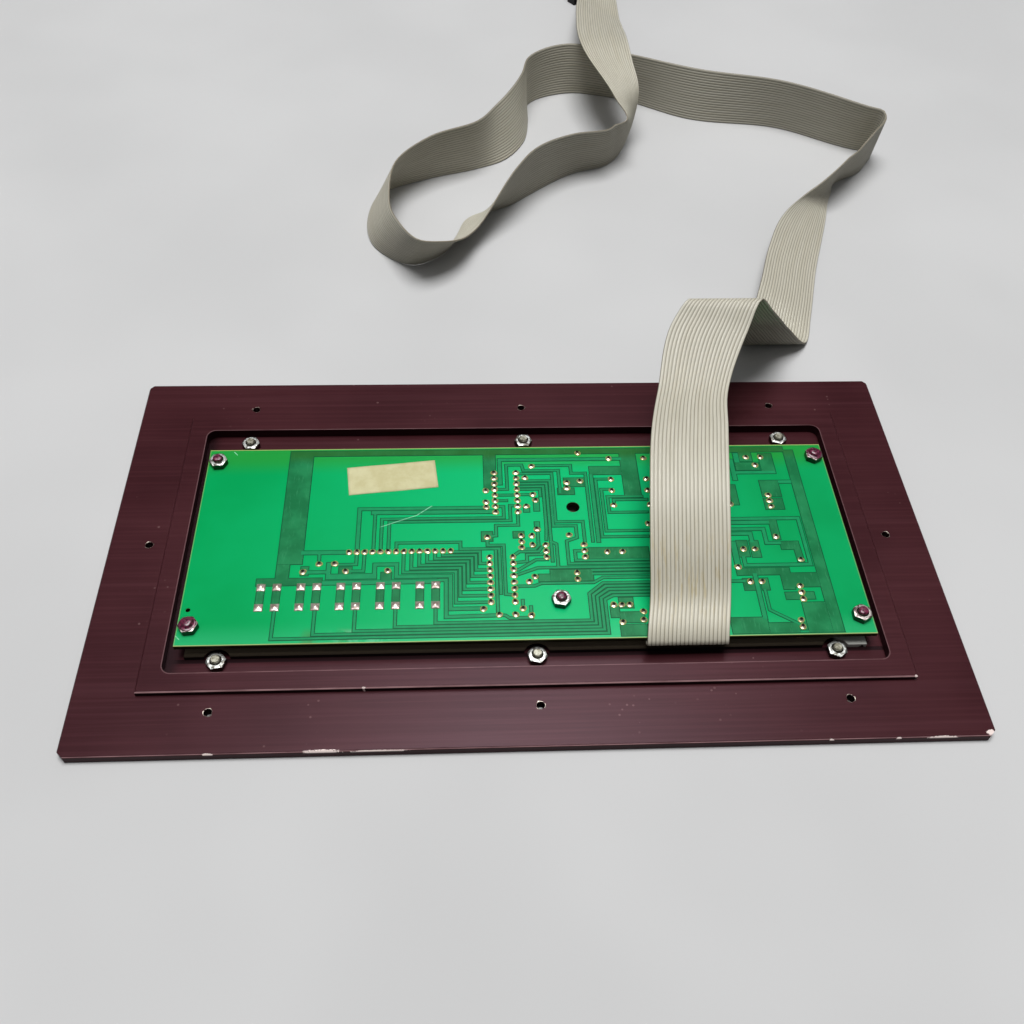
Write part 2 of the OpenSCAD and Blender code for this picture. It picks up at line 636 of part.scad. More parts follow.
// The cable leaves the connector, turns round the near edge of the board and follows its route
function level_pair(y, z) = [[cable_x - cable_w / 2, y, z], [cable_x + cable_w / 2, y, z]];
cable_start = [
    level_pair(near_y + plug_y + plug_w / 2, plug_z), level_pair(near_y + plug_y - plug_w / 2 - 1, plug_z),
    level_pair(near_y + 3, board_z - 1.6), level_pair(near_y - 0.8, board_z - 0.9),
    level_pair(near_y - 2.2, board_z + 0.9), level_pair(near_y - 0.5, board_top + 1.5)
];
function socket_point(along, back, z) = [
    socket_at.x + along * cos(socket_turn) - back * sin(socket_turn),
    socket_at.y + along * sin(socket_turn) + back * cos(socket_turn), z
];
socket_edge = (socket_l - cable_w) / 2;
cable_end = [for (back = [0, socket_w]) [for (along = [socket_edge, socket_edge + cable_w])
    socket_point(along, back, socket_h + socket_slot / 2)]];
// Direction of a smooth curve at b on its way from a to c, and the point half way from b to c
function heading(a, b, c) =
    (b - a) / norm(b - a) - (c - a) / (norm(b - a) + norm(c - b)) + (c - b) / norm(c - b);
function lifted(p) = [p.x, p.y, max(p.z, cable_t / 2 + 0.1)];
function half_way(a, b, c, d) =
    lifted((b + c) / 2 + (heading(a, b, c) - heading(b, c, d)) * norm(c - b) / 8);
through = concat([cable_start[5]], cable_route, [cable_end[0]]);
cable_rings = concat(cable_start, [for (i = [1:len(cable_route)]) each concat([cable_route[i - 1]],
    i < len(cable_route) ? [[for (e = [0, 1]) half_way(through[i - 1][e], through[i][e], through[i + 1][e],
        through[i + 2][e])]] : [])], cable_end);
function middle(pair) = (pair[0] + pair[1]) / 2;
function unit(v) = v / norm(v);
function cable_ring(i) =
    let (
        last = len(cable_rings) - 1,
        pair = cable_rings[i],
        along = middle(cable_rings[min(i + 1, last)]) - middle(cable_rings[max(i - 1, 0)]),
        across = unit(pair[1] - pair[0]),
        up = unit(cross(across, along)) * cable_t / 2,
        low = up / 3,
        side = across * cable_t / 3
    ) [
        pair[0] - low, pair[0] + side - up, pair[1] - side - up, pair[1] - low,
        pair[1] + low, pair[1] - side + up, pair[0] + side + up, pair[0] + low
    ];
module flat_cable() {
    sides = 8;
    rings = len(cable_rings);
    points = [for (i = [0:rings - 1]) each cable_ring(i)];
    // Both wide faces are split along the same diagonal, so that they stay apart where the cable twists
    walls = [for (i = [0:rings - 2], s = [0:sides - 1])
        let (a = i * sides + s, b = i * sides + (s + 1) % sides)
            each s < sides / 2 ? [[a, b, b + sides], [a, b + sides, a + sides]]
                : [[a, b, a + sides], [b, b + sides, a + sides]]];
    caps = [
        [for (s = [0:sides - 1]) sides - 1 - s],
        [for (s = [0:sides - 1]) (rings - 1) * sides + s]
    ];
    color([0.72, 0.7, 0.63]) polyhedron(points, concat(walls, caps), convexity = 10);
}

// Socket at the far end of the cable: a body with two rows of contacts and a clamping cap
module end_socket() {
    color([0.08, 0.08, 0.08]) translate([socket_at.x, socket_at.y, 0]) rotate(socket_turn) difference() {
        cube([socket_l, socket_w, socket_h]);
        for (i = [0:9], s = [-1, 1])
            translate([socket_l / 2 + (i - 4.5) * pitch, socket_w / 2 + s * pitch / 2, -eps])
                linear_extrude(5 + eps) square(1, center = true);
    }
}
module end_socket_cap() {
    ear = socket_edge - 0.3;
    color([0.1, 0.1, 0.1]) translate([socket_at.x, socket_at.y, socket_h]) rotate(socket_turn) {
        translate([0, 0, socket_slot]) cube([socket_l, socket_w, socket_cap_h]);
        cube([ear, socket_w, socket_slot + eps]);
        translate([socket_l - ear, 0, 0]) cube([ear, socket_w, socket_slot + eps]);
    }
}

bezel_plate();
front_screws();
floor_nuts();
window_sheet();
board_screws();
board_spacers();
board_nuts();
main_board();
solder_joints();
key_pads();
label();
display_frame();
display_glass();
contact_strips();
display_board();
display_chips();
display_header();
driver_chips();
chip_legs();
key_housings();
key_1();
key_2();
key_3();
key_4();
key_5();
resistors();
capacitors();
transistors();
trimmer();
board_plug();
board_plug_cap();
flat_cable();
end_socket();
end_socket_cap();
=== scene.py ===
import random
from math import atan2, ceil, cos, pi, radians, sin, sqrt

import bmesh
import bpy
from bmesh.types import BMFace, BMVert
from mathutils import Matrix, Vector


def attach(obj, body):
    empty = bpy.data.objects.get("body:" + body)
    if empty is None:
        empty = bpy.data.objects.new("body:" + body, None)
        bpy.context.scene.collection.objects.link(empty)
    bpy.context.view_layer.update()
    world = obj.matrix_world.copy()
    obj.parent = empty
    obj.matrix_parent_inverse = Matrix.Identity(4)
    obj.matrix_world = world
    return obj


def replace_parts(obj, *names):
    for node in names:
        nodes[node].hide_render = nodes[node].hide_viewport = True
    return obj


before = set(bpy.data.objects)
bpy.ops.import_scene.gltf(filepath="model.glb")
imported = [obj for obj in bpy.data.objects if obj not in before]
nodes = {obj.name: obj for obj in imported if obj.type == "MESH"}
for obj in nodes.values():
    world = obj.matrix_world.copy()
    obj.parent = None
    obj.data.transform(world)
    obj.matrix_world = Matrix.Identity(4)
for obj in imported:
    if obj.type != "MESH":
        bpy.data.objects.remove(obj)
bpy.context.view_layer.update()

MM = 0.001

# Camera. The photograph was taken by hand from the near side, about fifty degrees down, with a plain lens.
# Its place and direction are those from which the pins, nuts and corners of the panel line up with it.
camera = bpy.data.objects.new("camera", bpy.data.cameras.new("camera"))
bpy.context.scene.collection.objects.link(camera)
bpy.context.scene.camera = camera
camera.data.sensor_width = 36
camera.data.lens = 36.94
camera_at = Vector((-21.18, -218.908, 279.966)) * MM
to_right = Vector((0.9987086, -0.0415073, 0.0292973))
to_foot = Vector((-0.0130725, -0.7671852, -0.6412925))
ahead = Vector((0.0490947, 0.6400813, -0.7667370))
camera_turn = Matrix((to_right, -to_foot, -ahead)).transposed().to_4x4()
camera.matrix_world = Matrix.Translation(camera_at) @ camera_turn

# Flat cable. Twenty stranded conductors in one grey plastic ribbon, 1.27 mm from conductor to conductor.
# It is clamped under the near edge of the board, turns up round that edge, crosses the board, folds over
# beyond the panel and lies on its edge in a long loop, back to the socket at its far end.
CONDUCTORS, PITCH = 20, 1.27
cable_middle, half_width = 48.4, CONDUCTORS * PITCH / 2
cable_start = [
    [(cable_middle - half_width, y, z), (cable_middle + half_width, y, z)]
    for y, z in [(-15.5, 4.1), (-22.5, 4.1), (-40.1, 5.0), (-43.9, 5.7), (-45.3, 7.5), (-43.6, 9.7)]
]
cable_route = [
    [[37.2, -33.3, 14], [62.5, -33.5, 14]], [[37.4, -21.5, 24], [62.7, -21.7, 24]],
    [[38, -7.8, 32], [63.3, -8.2, 32]], [[41.2, 18.3, 36.5], [66.5, 18, 36.5]],
    [[46, 38, 35.5], [70.8, 40, 34.5]], [[54.4, 64.9, 45], [79.8, 60.5, 42]],
    [[59.2, 70.3, 48], [85.9, 70.5, 48]], [[65.2, 73, 42.5], [90.8, 72.1, 42]],
    [[71.6, 78.5, 33], [97.2, 76.9, 33]], [[78.9, 89.9, 20], [106.2, 89.8, 18]],
    [[93, 101, 1.2], [120, 101.5, 1.2]], [[103, 124.7, 10.8], [125.3, 117.9, 1]],
    [[112.4, 151.8, 11.1], [135.8, 152.5, 1]], [[119.8, 168.4, 12.4], [142.4, 171.1, 1]],
    [[126.1, 178.2, 12.2], [147.5, 185.8, 1]], [[135.6, 187.8, 13.1], [152.7, 202.3, 1]],
    [[144.6, 193.7, 16.2], [155.4, 208.6, 1]], [[153.6, 199.6, 21.3], [157.6, 215, 1]],
    [[158, 204.4, 21.9], [162.6, 219.2, 0.8]], [[162.4, 208.7, 21.8], [167.8, 222.2, 0.6]],
    [[167.8, 215.3, 22.7], [173.5, 226.7, 0.6]], [[175.5, 224.7, 24.3], [178.4, 233.6, 0.6]],
    [[181.8, 233.3, 24.7], [182.5, 240.6, 0.6]], [[182.2, 238.6, 25.4], [182.2, 244.6, 0.6]],
    [[175.7, 243.2, 25.4], [176.5, 246.6, 0.6]], [[140.8, 266.1, 25.4], [140.9, 266.6, 0.6]],
    [[99.8, 277.6, 25.4], [98.8, 274.2, 0.6]], [[58.7, 295.1, 25.6], [58.9, 295.8, 0.6]],
    [[36.4, 302.5, 25.4], [37, 299.5, 0.6]], [[15.6, 287.8, 25.6], [15.8, 287.4, 0.6]],
    [[11.8, 273.4, 25.2], [15.1, 271.5, 0.6]], [[4.2, 255.5, 24.5], [11.7, 250.9, 0.6]],
    [[-1.9, 245.5, 23.6], [0.6, 234.6, 0.6]], [[-10.7, 228.1, 25.6], [-11.1, 228.5, 0.6]],
    [[-32.9, 214.5, 25.4], [-35, 219.6, 0.6]], [[-47.6, 197.7, 23], [-55.8, 206.8, 0.6]],
    [[-50, 178.3, 20.1], [-60.6, 190.7, 0.6]], [[-46.3, 156.7, 22.3], [-56.4, 165.8, 0.8]],
    [[-35.7, 140.9, 23], [-39.2, 153.8, 1.5]], [[-26.7, 144.5, 19.2], [-27.1, 162.1, 0.8]],
    [[-19.3, 152, 14.9], [-21.5, 173.1, 0.8]], [[-13.5, 163, 11.2], [-16.9, 185.8, 0.8]],
    [[5.7, 190.8, 24.8], [3.6, 198.7, 0.6]], [[14.1, 203.9, 25.8], [12.2, 206.6, 0.6]],
    [[33, 218.5, 24.8], [33.4, 224.2, 0.6]], [[49.8, 223.9, 24.1], [52.7, 233.4, 0.6]],
    [[54.2, 229.7, 23.5], [57.9, 241, 1]], [[58.2, 230.8, 24.4], [63, 249, 7]],
    [[53.6, 242.1, 29], [67, 256.7, 24]], [[42.5, 275.7, 33], [64.9, 274.1, 31.5]],
    [[43.2, 335.8, 24], [68.1, 333.4, 19]], [[46.7, 366.7, 18], [70.4, 363.1, 10]],
]
socket_corner, socket_turn = Vector((49, 399.8, 7.6)), Matrix.Rotation(radians(35), 4, "Z")
cable_end = [
    [socket_corner + socket_turn @ Vector((along, back, 0)) for along in (3.5, 28.9)] for back in (0, 6.1)
]
least_height = 0.5
ring_step = 3.2


def heading(a, b, c):
    """Direction in which a smooth curve passes b on its way from a to c."""
    return (b - a).normalized() - (c - a) / ((b - a).length + (c - b).length) + (c - b).normalized()


def between(a, b, c, d, t):
    """Point of the smooth curve from b to c, whose neighbours are a and d."""
    leave, arrive = heading(a, b, c) * (c - b).length, heading(b, c, d) * (c - b).length
    p = (
        (2 * t**3 - 3 * t**2 + 1) * b + (t**3 - 2 * t**2 + t) * leave
        + (3 * t**2 - 2 * t**3) * c + (t**3 - t**2) * arrive
    )
    p.z = max(p.z, least_height)
    return p


def cable_rings():
    """Both edges of the cable at close steps along its whole length, in millimetres."""
    start = [[Vector(p) for p in pair] for pair in cable_start]
    route = [[Vector(p) for p in pair] for pair in cable_route]
    rings = []
    through = start + route + cable_end
    for i in range(len(through) - 1):
        before, after = through[max(i - 1, 0)], through[min(i + 2, len(through) - 1)]
        here, there = through[i], through[i + 1]
        steps = max(2, ceil((sum(there, Vector()) - sum(here, Vector())).length / 2 / ring_step))
        straight = i < len(start) - 1 or i > len(start) + len(route) - 2
        for s in range(steps):
            t = s / steps
            if straight or before is here or after is there:
                rings.append([here[e].lerp(there[e], t) for e in (0, 1)])
            else:
                rings.append([between(before[e], here[e], there[e], after[e], t) for e in (0, 1)])
    return rings + [through[-1]]


class Wire:
    """An output of a shader node. Sums and comparisons of wires add Math nodes."""

    def __init__(self, tree, socket):
        self.tree, self.socket = tree, socket

    def math(self, operation, *values, clamp=False):
        settings = {"operation": operation, "use_clamp": clamp}
        return add_node(self.tree, "ShaderNodeMath", settings, dict(enumerate(values)))

    def __add__(self, other): return self.math("ADD", self, other)
    def __radd__(self, other): return self.math("ADD", other, self)
    def __sub__(self, other): return self.math("SUBTRACT", self, other)
    def __rsub__(self, other): return self.math("SUBTRACT", other, self)
    def __mul__(self, other): return self.math("MULTIPLY", self, other)
    def __rmul__(self, other): return self.math("MULTIPLY", other, self)
    def __truediv__(self, other): return self.math("DIVIDE", self, other)
    def __gt__(self, other): return self.math("GREATER_THAN", self, other)
    def __lt__(self, other): return self.math("LESS_THAN", self, other)
    def fract(self): return self.math("FRACT", self)
    def abs(self): return self.math("ABSOLUTE", self)
    def most(self, other): return self.math("MAXIMUM", self, other)
    def within(self, low, high): return (self > low) * (self < high)

    def rise(self, low, high):
        """0 below low and 1 above high, with a soft step between them. Low may be the greater one."""
        t = self.math("DIVIDE", self - low, high - low, clamp=True)
        return t * t * (3 - 2 * t)


def add_node(tree, kind, settings=None, inputs=None, output=0):
    """Adds a node, sets it up, feeds its sockets with values or wires, and returns one of its outputs."""
    node = tree.nodes.new(kind)
    for name, value in (settings or {}).items():
        setattr(node, name, value)
    for name, value in (inputs or {}).items():
        if isinstance(value, Wire):
            tree.links.new(value.socket, node.inputs[name])
        else:
            node.inputs[name].default_value = value
    return Wire(tree, node.outputs[output])


def shade(red, green, blue):
    """A colour as a screen shows it, 0 to 255, turned into the linear values that a shader takes."""
    def linear(v):
        v /= 255
        return v / 12.92 if v <= 0.04045 else ((v + 0.055) / 1.055) ** 2.4
    return (linear(red), linear(green), linear(blue), 1)


class Finish:
    """One material, with the patterns that the surfaces of this object share."""

    def __init__(self, name, **sockets):
        self.material = bpy.data.materials.new(name)
        self.material.use_nodes = True
        self.tree = self.material.node_tree
        self.shader = self.tree.nodes["Principled BSDF"]
        self.place = self.node("ShaderNodeTexCoord", output="Object")
        self.set(**sockets)

    def node(self, kind, settings=None, inputs=None, output=0):
        return add_node(self.tree, kind, settings, inputs, output)

    def set(self, **sockets):
        """Feeds the surface shader: base_color becomes its socket Base Color."""
        for name, value in sockets.items():
            socket = self.shader.inputs[name.replace("_", " ").title().replace("Ior", "IOR")]
            if isinstance(value, Wire):
                self.tree.links.new(value.socket, socket)
            else:
                socket.default_value = value
        return self

    def axes(self, place):
        """The three coordinates of a place as wires."""
        parts = self.tree.nodes.new("ShaderNodeSeparateXYZ")
        self.tree.links.new(place.socket, parts.inputs[0])
        return [Wire(self.tree, parts.outputs[i]) for i in range(3)]

    def spot(self):
        """The three coordinates of the point that is shaded, in millimetres."""
        return [axis / MM for axis in self.axes(self.place)]

    def stretched(self, x, y, z, place=None):
        """The place times a factor for each axis, which stretches a pattern."""
        return self.node("ShaderNodeMapping", {}, {"Vector": place or self.place, "Scale": (x, y, z)})

    def noise(self, scale, detail=2, roughness=0.5, place=None):
        """A cloudy value from 0 to 1, with about scale lumps to a metre."""
        inputs = {"Vector": place or self.place, "Scale": scale, "Detail": detail, "Roughness": roughness}
        return self.node("ShaderNodeTexNoise", {}, inputs)

    def specks(self, scale, size):
        """1 in small round specks, about one in every few cells, and 0 elsewhere."""
        inputs = {"Vector": self.place, "Scale": scale, "Randomness": 1}
        return self.node("ShaderNodeTexVoronoi", {}, inputs).rise(size, size * 0.5)

    def mix(self, share, a, b):
        """Colour a where share is 0 and b where it is 1."""
        return self.node("ShaderNodeMix", {"data_type": "RGBA"}, {"Factor": share, 6: a, 7: b}, 2)

    def bump(self, height, depth):
        """A relief of that depth in metres, from a height of 0 to 1."""
        return self.node("ShaderNodeBump", {}, {"Height": height, "Distance": depth, "Strength": 1})


def add_piece(name, mesh, finish, smooth=True):
    """Turns a bmesh into a piece with its finish or finishes, which rides on the panel."""
    made = bpy.data.objects.new(name, bpy.data.meshes.new(name))
    mesh.to_mesh(made.data)
    mesh.free()
    bpy.context.scene.collection.objects.link(made)
    for each in finish if isinstance(finish, list) else [finish]:
        made.data.materials.append(each.material)
    for face in made.data.polygons:
        face.use_smooth = smooth
    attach(made, "panel")
    return made


# The ribbon is a grid with six points to a conductor, which shape its ridges and the webs between them. Where
# it stands on its edge it is let down, so that it rests on the floor.
POINTS_PER_CONDUCTOR = 6
web_half, ridge_half = 0.2, 0.42
furthest_down, floor_gap = 1.4, 0.15
rings = cable_rings()
cable_path = [(a + b) / 2 * MM for a, b in rings]
columns = CONDUCTORS * POINTS_PER_CONDUCTOR
ribbon = bmesh.new()
ribbon_uv = ribbon.loops.layers.uv.new("along_cable")
bmesh.ops.create_grid(ribbon, x_segments=columns, y_segments=len(rings) - 1, size=0.5)
bmesh.ops.extrude_face_region(ribbon, geom=ribbon.faces[:], use_keep_orig=True)
ribbon.verts.ensure_lookup_table()
layer_size = (columns + 1) * len(rings)
cable_run = [0.0]
for a, b in zip(cable_path, cable_path[1:]):
    cable_run.append(cable_run[-1] + (b - a).length)
spots = {}
for i, vert in enumerate(ribbon.verts):
    column, ring = round((vert.co.x + 0.5) * columns), round((vert.co.y + 0.5) * (len(rings) - 1))
    left, right = rings[ring]
    along = cable_path[min(ring + 1, len(rings) - 1)] - cable_path[max(ring - 1, 0)]
    across = (right - left).normalized()
    up = across.cross(along).normalized()
    off_middle = 2 * ((column / POINTS_PER_CONDUCTOR) % 1) - 1
    half = web_half + (ridge_half - web_half) * sqrt(max(0, 1 - off_middle**2))
    side = 1 if i < layer_size else -1
    spots[vert] = (column / POINTS_PER_CONDUCTOR, cable_run[ring])
    vert.co = (left.lerp(right, column / columns) + up * half * side) * MM
    vert.co.z -= min(furthest_down, min(left.z, right.z) - floor_gap) * across.z**2 * MM
for face in ribbon.faces:
    for loop in face.loops:
        loop[ribbon_uv].uv = spots[loop.vert]
bmesh.ops.recalc_face_normals(ribbon, faces=ribbon.faces)

# Along the ribbon, over counts its conductors and run the metres from its connector.
cable_grey = Finish("cable_grey", roughness=0.42, specular_ior_level=0.4)
strip = cable_grey.node("ShaderNodeUVMap", {"uv_map": "along_cable"})
over, run, _ = cable_grey.axes(strip)
# Painted shade: the grooves between the conductors are painted darker.
painted_groove_shade = ((over.fract() - 0.5).abs() * 2).rise(0.62, 1.0)
mottle = cable_grey.noise(1, 3, 0.6, cable_grey.stretched(0.6, 60, 1, strip))
rubbed = cable_grey.noise(1, 2, 0.5, cable_grey.stretched(2, 12, 1, strip)).rise(0.45, 0.7)
smears = cable_grey.noise(1, 3, 0.7, cable_grey.stretched(1.5, 90, 1, strip)).rise(0.5, 0.66)
glue_at = 0.052
old_glue = (run - glue_at).abs().rise(0.022, 0.004) * smears
skin = cable_grey.mix(mottle.rise(0.3, 0.7), shade(200, 196, 180), shade(208, 204, 189))
# Painted light: over the first 5 cm of its run the ribbon is painted paler, fading out by 11 cm.
skin = cable_grey.mix(run.rise(0.11, 0.05) * 0.6, skin, shade(224, 219, 200))
skin = cable_grey.mix(rubbed * 0.35, skin, shade(192, 184, 162))
skin = cable_grey.mix(old_glue * 0.5, skin, shade(196, 176, 120))
# Painted shade in the grooves.
skin = cable_grey.mix(painted_groove_shade * 0.8, skin, shade(112, 102, 84))
cable_grey.set(base_color=skin, normal=cable_grey.bump(cable_grey.noise(1400, 2), 0.00002))

flat_cable = add_piece("ribbon_cable", ribbon, cable_grey)
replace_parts(flat_cable, "flat_cable")
cable_exit = cable_path[0] + Vector((0, -6 * MM, 0))

# Floor, backdrop and light. Stand-ins for the pale foam sheet on the table and the ceiling light over it.
# They are not part of the object. The floor throws back less light than the camera sees on it.
floor_mesh = bmesh.new()
bmesh.ops.create_grid(floor_mesh, x_segments=1, y_segments=1, size=4)
floor = bpy.data.objects.new("floor", bpy.data.meshes.new("floor"))
floor_mesh.to_mesh(floor.data)
floor_mesh.free()
bpy.context.scene.collection.objects.link(floor)
pale = Finish("pale_floor", roughness=0.9, specular_ior_level=0.1)
foam = pale.mix(pale.noise(9, 2).rise(0.3, 0.7), shade(206, 206, 206), shade(212, 212, 212))
looked_at = pale.node("ShaderNodeLightPath", output="Is Camera Ray")
pale.set(base_color=pale.mix(looked_at, shade(150, 150, 150), foam))
floor.data.materials.append(pale.material)

# The room: even and pale to the camera, dim above for the light it gives, and in mirroring surfaces dark with
# a brighter ceiling and the glare of its lamp.
world = bpy.data.worlds.new("pale_room")
world.use_nodes = True
bpy.context.scene.world = world
room = world.node_tree
ray = room.nodes.new("ShaderNodeLightPath")
seen, mirrored = Wire(room, ray.outputs["Is Camera Ray"]), Wire(room, ray.outputs["Is Glossy Ray"])
way = room.nodes.new("ShaderNodeSeparateXYZ")
room.links.new(room.nodes.new("ShaderNodeTexCoord").outputs["Generated"], way.inputs[0])
east, north, upward = (Wire(room, way.outputs[i]) for i in range(3))
to_lamp = (0.06, 0.42, 0.905)
glare = (east * to_lamp[0] + north * to_lamp[1] + upward * to_lamp[2]).rise(0.98, 0.995)
in_mirrors = 0.03 + upward.rise(0.82, 0.92) * 0.7 + glare * 9
elsewhere = upward.rise(0.1, 1) * 0.26
strength = elsewhere * (1 - mirrored) + in_mirrors * mirrored
background = room.nodes["Background"]
background.inputs["Color"].default_value = (0.98, 0.99, 1, 1)
room.links.new((seen * 0.92 + strength * (1 - seen)).socket, background.inputs["Strength"])
bpy.context.scene.view_settings.view_transform = "Standard"

# The ceiling light, a soft rectangular lamp.
light = bpy.data.lights.new("ceiling_light", "AREA")
light.shape, light.size, light.size_y, light.energy = "RECTANGLE", 1.3, 1.3, 61
lamp = bpy.data.objects.new("ceiling_light", light)
lamp.location = (-0.05, 0.15, 2.6)
lamp.rotation_mode = "QUATERNION"
lamp.rotation_quaternion = (Vector((0, 0.05, 0)) - lamp.location).to_track_quat("-Z", "Y")
bpy.context.scene.collection.objects.link(lamp)


def dress(finish, *names):
    """Gives CAD nodes their finish."""
    for name in names:
        for slot in nodes[name].material_slots:
            slot.material = finish.material


def loose_parts(name):
    """Lowest and highest corner of each separate solid of a CAD node, in millimetres and a fixed order."""
    solid = bmesh.new()
    solid.from_mesh(nodes[name].data)
    bmesh.ops.remove_doubles(solid, verts=solid.verts[:], dist=1e-6)
    parts, seen = [], set()
    for start in solid.verts:
        if start in seen:
            continue
        seen.add(start)
        group, waiting = [], [start]
        while waiting:
            vert = waiting.pop()
            group.append(vert.co / MM)
            for edge in vert.link_edges:
                other = edge.other_vert(vert)
                if other not in seen:
                    seen.add(other)
                    waiting.append(other)
        parts.append([Vector([pick(co[i] for co in group) for i in range(3)]) for pick in (min, max)])
    solid.free()
    return sorted(parts, key=lambda part: [round(v) for v in part[0] + part[1]])


def middle_at(part, z):
    """The place at a height over the middle of a separate solid."""
    return (*((part[0] + part[1]) / 2).xy, z)


def turned(profile, steps):
    """A profile of (radius, height) in millimetres, turned round the upright axis into a shape."""
    shape = bmesh.new()
    verts = [shape.verts.new(Vector((r, 0, z)) * MM) for r, z in profile]
    edges = [shape.edges.new(pair) for pair in zip(verts, verts[1:])]
    bmesh.ops.spin(shape, geom=verts + edges, cent=(0, 0, 0), axis=(0, 0, 1), angle=2 * pi, steps=steps)
    bmesh.ops.remove_doubles(shape, verts=shape.verts[:], dist=1e-6)
    bmesh.ops.recalc_face_normals(shape, faces=shape.faces[:])
    return shape


def join(target, shape, at):
    """Adds a finished shape to a mesh at its place in millimetres."""
    shape.transform(Matrix.Translation(Vector(at) * MM))
    carrier = bpy.data.meshes.new("carrier")
    shape.to_mesh(carrier)
    shape.free()
    target.from_mesh(carrier)
    bpy.data.meshes.remove(carrier)


# Bezel plate. One machined aluminium plate, coloured maroon; the pocket in its back was milled out, and the
# flange has eight tapped holes. The colour is rubbed through along the near edge and dusty all over.
maroon = Finish("maroon_plate", specular_ior_level=0.22, specular_tint=(1, 0.72, 0.82, 1))
plate_x, plate_y, plate_z = maroon.spot()
brushed = maroon.noise(1, 3, 0.6, maroon.stretched(14, 900, 900))
streaks = maroon.noise(1, 2, 0.5, maroon.stretched(6, 260, 260))
cloud = maroon.noise(22, 3)
base = maroon.mix(cloud.rise(0.3, 0.7), shade(53, 22, 26), shade(63, 29, 33))
base = maroon.mix(brushed.rise(0.4, 0.7) * 0.25, base, shade(88, 50, 55))
base = maroon.mix(streaks.rise(0.55, 0.7) * 0.08, base, shade(104, 66, 72))
dust = maroon.specks(330, 0.16) * maroon.noise(40, 2).rise(0.58, 0.7)
lint = maroon.specks(70, 0.04)
base = maroon.mix(dust.most(lint) * 0.5, base, shade(130, 100, 100))

# The broken edges catch the light: the near edges of the flange and of the raised rectangle, and the edge
# round the pocket, whose corners are round.
PLATE_NEAR, RAISED_NEAR = -76.5, -57
POCKET_FLOOR, FLANGE_TOP, RAISED_TOP = 1.6, 3.2, 5.2
POCKET_X, POCKET_Y, POCKET_CORNER = 111.5, 50.5, 3
wander = maroon.noise(1, 3, 0.6, maroon.stretched(60, 1, 1)).rise(0.3, 0.6)
flange_rim = (plate_y < PLATE_NEAR + 0.3) * (plate_z > FLANGE_TOP - 0.3)
raised_rim = plate_y.within(RAISED_NEAR - 0.1, RAISED_NEAR + 0.35) * (plate_z > RAISED_TOP - 0.4)
past_x = (plate_x.abs() - (POCKET_X - POCKET_CORNER)).most(0)
past_y = (plate_y.abs() - (POCKET_Y - POCKET_CORNER)).most(0)
past_corner = past_x * past_x + past_y * past_y
pocket_rim = past_corner.within(POCKET_CORNER**2, (POCKET_CORNER + 0.3) ** 2) * (plate_z > RAISED_TOP - 0.15)
rims = (flange_rim * (0.35 + 0.45 * wander)).most(raised_rim * (0.45 + 0.4 * wander))
rims = rims.most(pocket_rim * (0.12 + 0.2 * wander))
base = maroon.mix(rims, base, shade(178, 140, 142))

# Little light reaches the near wall of the raised rectangle, the walls of the pocket, and the pocket's floor
# beside the window sheet and beside the left end of the board.
SHEET_NEAR = -43.7
in_pocket = (plate_x.abs() < POCKET_X + 0.5) * (plate_y.abs() < POCKET_Y + 0.5)
on_floor = in_pocket * plate_z.within(1, POCKET_FLOOR + 0.2)
on_wall = in_pocket * plate_z.within(POCKET_FLOOR + 0.2, RAISED_TOP - 0.3)
near_wall = plate_y.within(RAISED_NEAR - 0.1, RAISED_NEAR + 0.05)
by_sheet = plate_y.rise(SHEET_NEAR - 1.7, SHEET_NEAR - 1.3) * (plate_y < SHEET_NEAR)
by_board_end = plate_x.rise(-106, -110.5)
in_shade = (near_wall * plate_z.within(FLANGE_TOP + 0.05, RAISED_TOP - 0.4)).most(on_wall * 0.65)
in_shade = in_shade.most(on_floor * by_sheet * 0.85).most(on_floor * by_board_end * 0.8)
base = maroon.mix(in_shade, base, shade(12, 4, 5))

# Chips in the colour along the edges, each an ellipse with a ragged outline: its place and its half lengths.
chips = plate_x * 0
for x, y, long, wide in [
    (-94.3, -76.5, 1.9, 0.45), (-61.8, -76.4, 6.6, 0.8), (-45.4, -76.5, 10, 0.35), (87.1, -76.5, 1, 0.4),
    (107.2, -76.5, 1, 0.4), (120.7, -76.5, 5.4, 0.5), (135.3, -75.4, 1.7, 1.1), (-50.6, -56.8, 0.8, 0.3),
    (117.6, -56.7, 0.8, 0.4),
]:
    u, v = (plate_x - x) / long, (plate_y - y) / wide
    chips = chips.most((u * u + v * v).rise(1.3, 0))
ragged = maroon.noise(1, 5, 0.75, maroon.stretched(1100, 2200, 1100))
worn = (chips * 0.5 + ragged * 1.2).rise(0.84, 0.94) * (chips > 0.02) * (plate_z > FLANGE_TOP - 0.8)
base = maroon.mix(worn, base, shade(248, 230, 224))
maroon.set(
    base_color=base, roughness=0.3 - 0.06 * brushed + 0.06 * cloud, normal=maroon.bump(brushed, 0.000006),
)
dress(maroon, "bezel_plate")
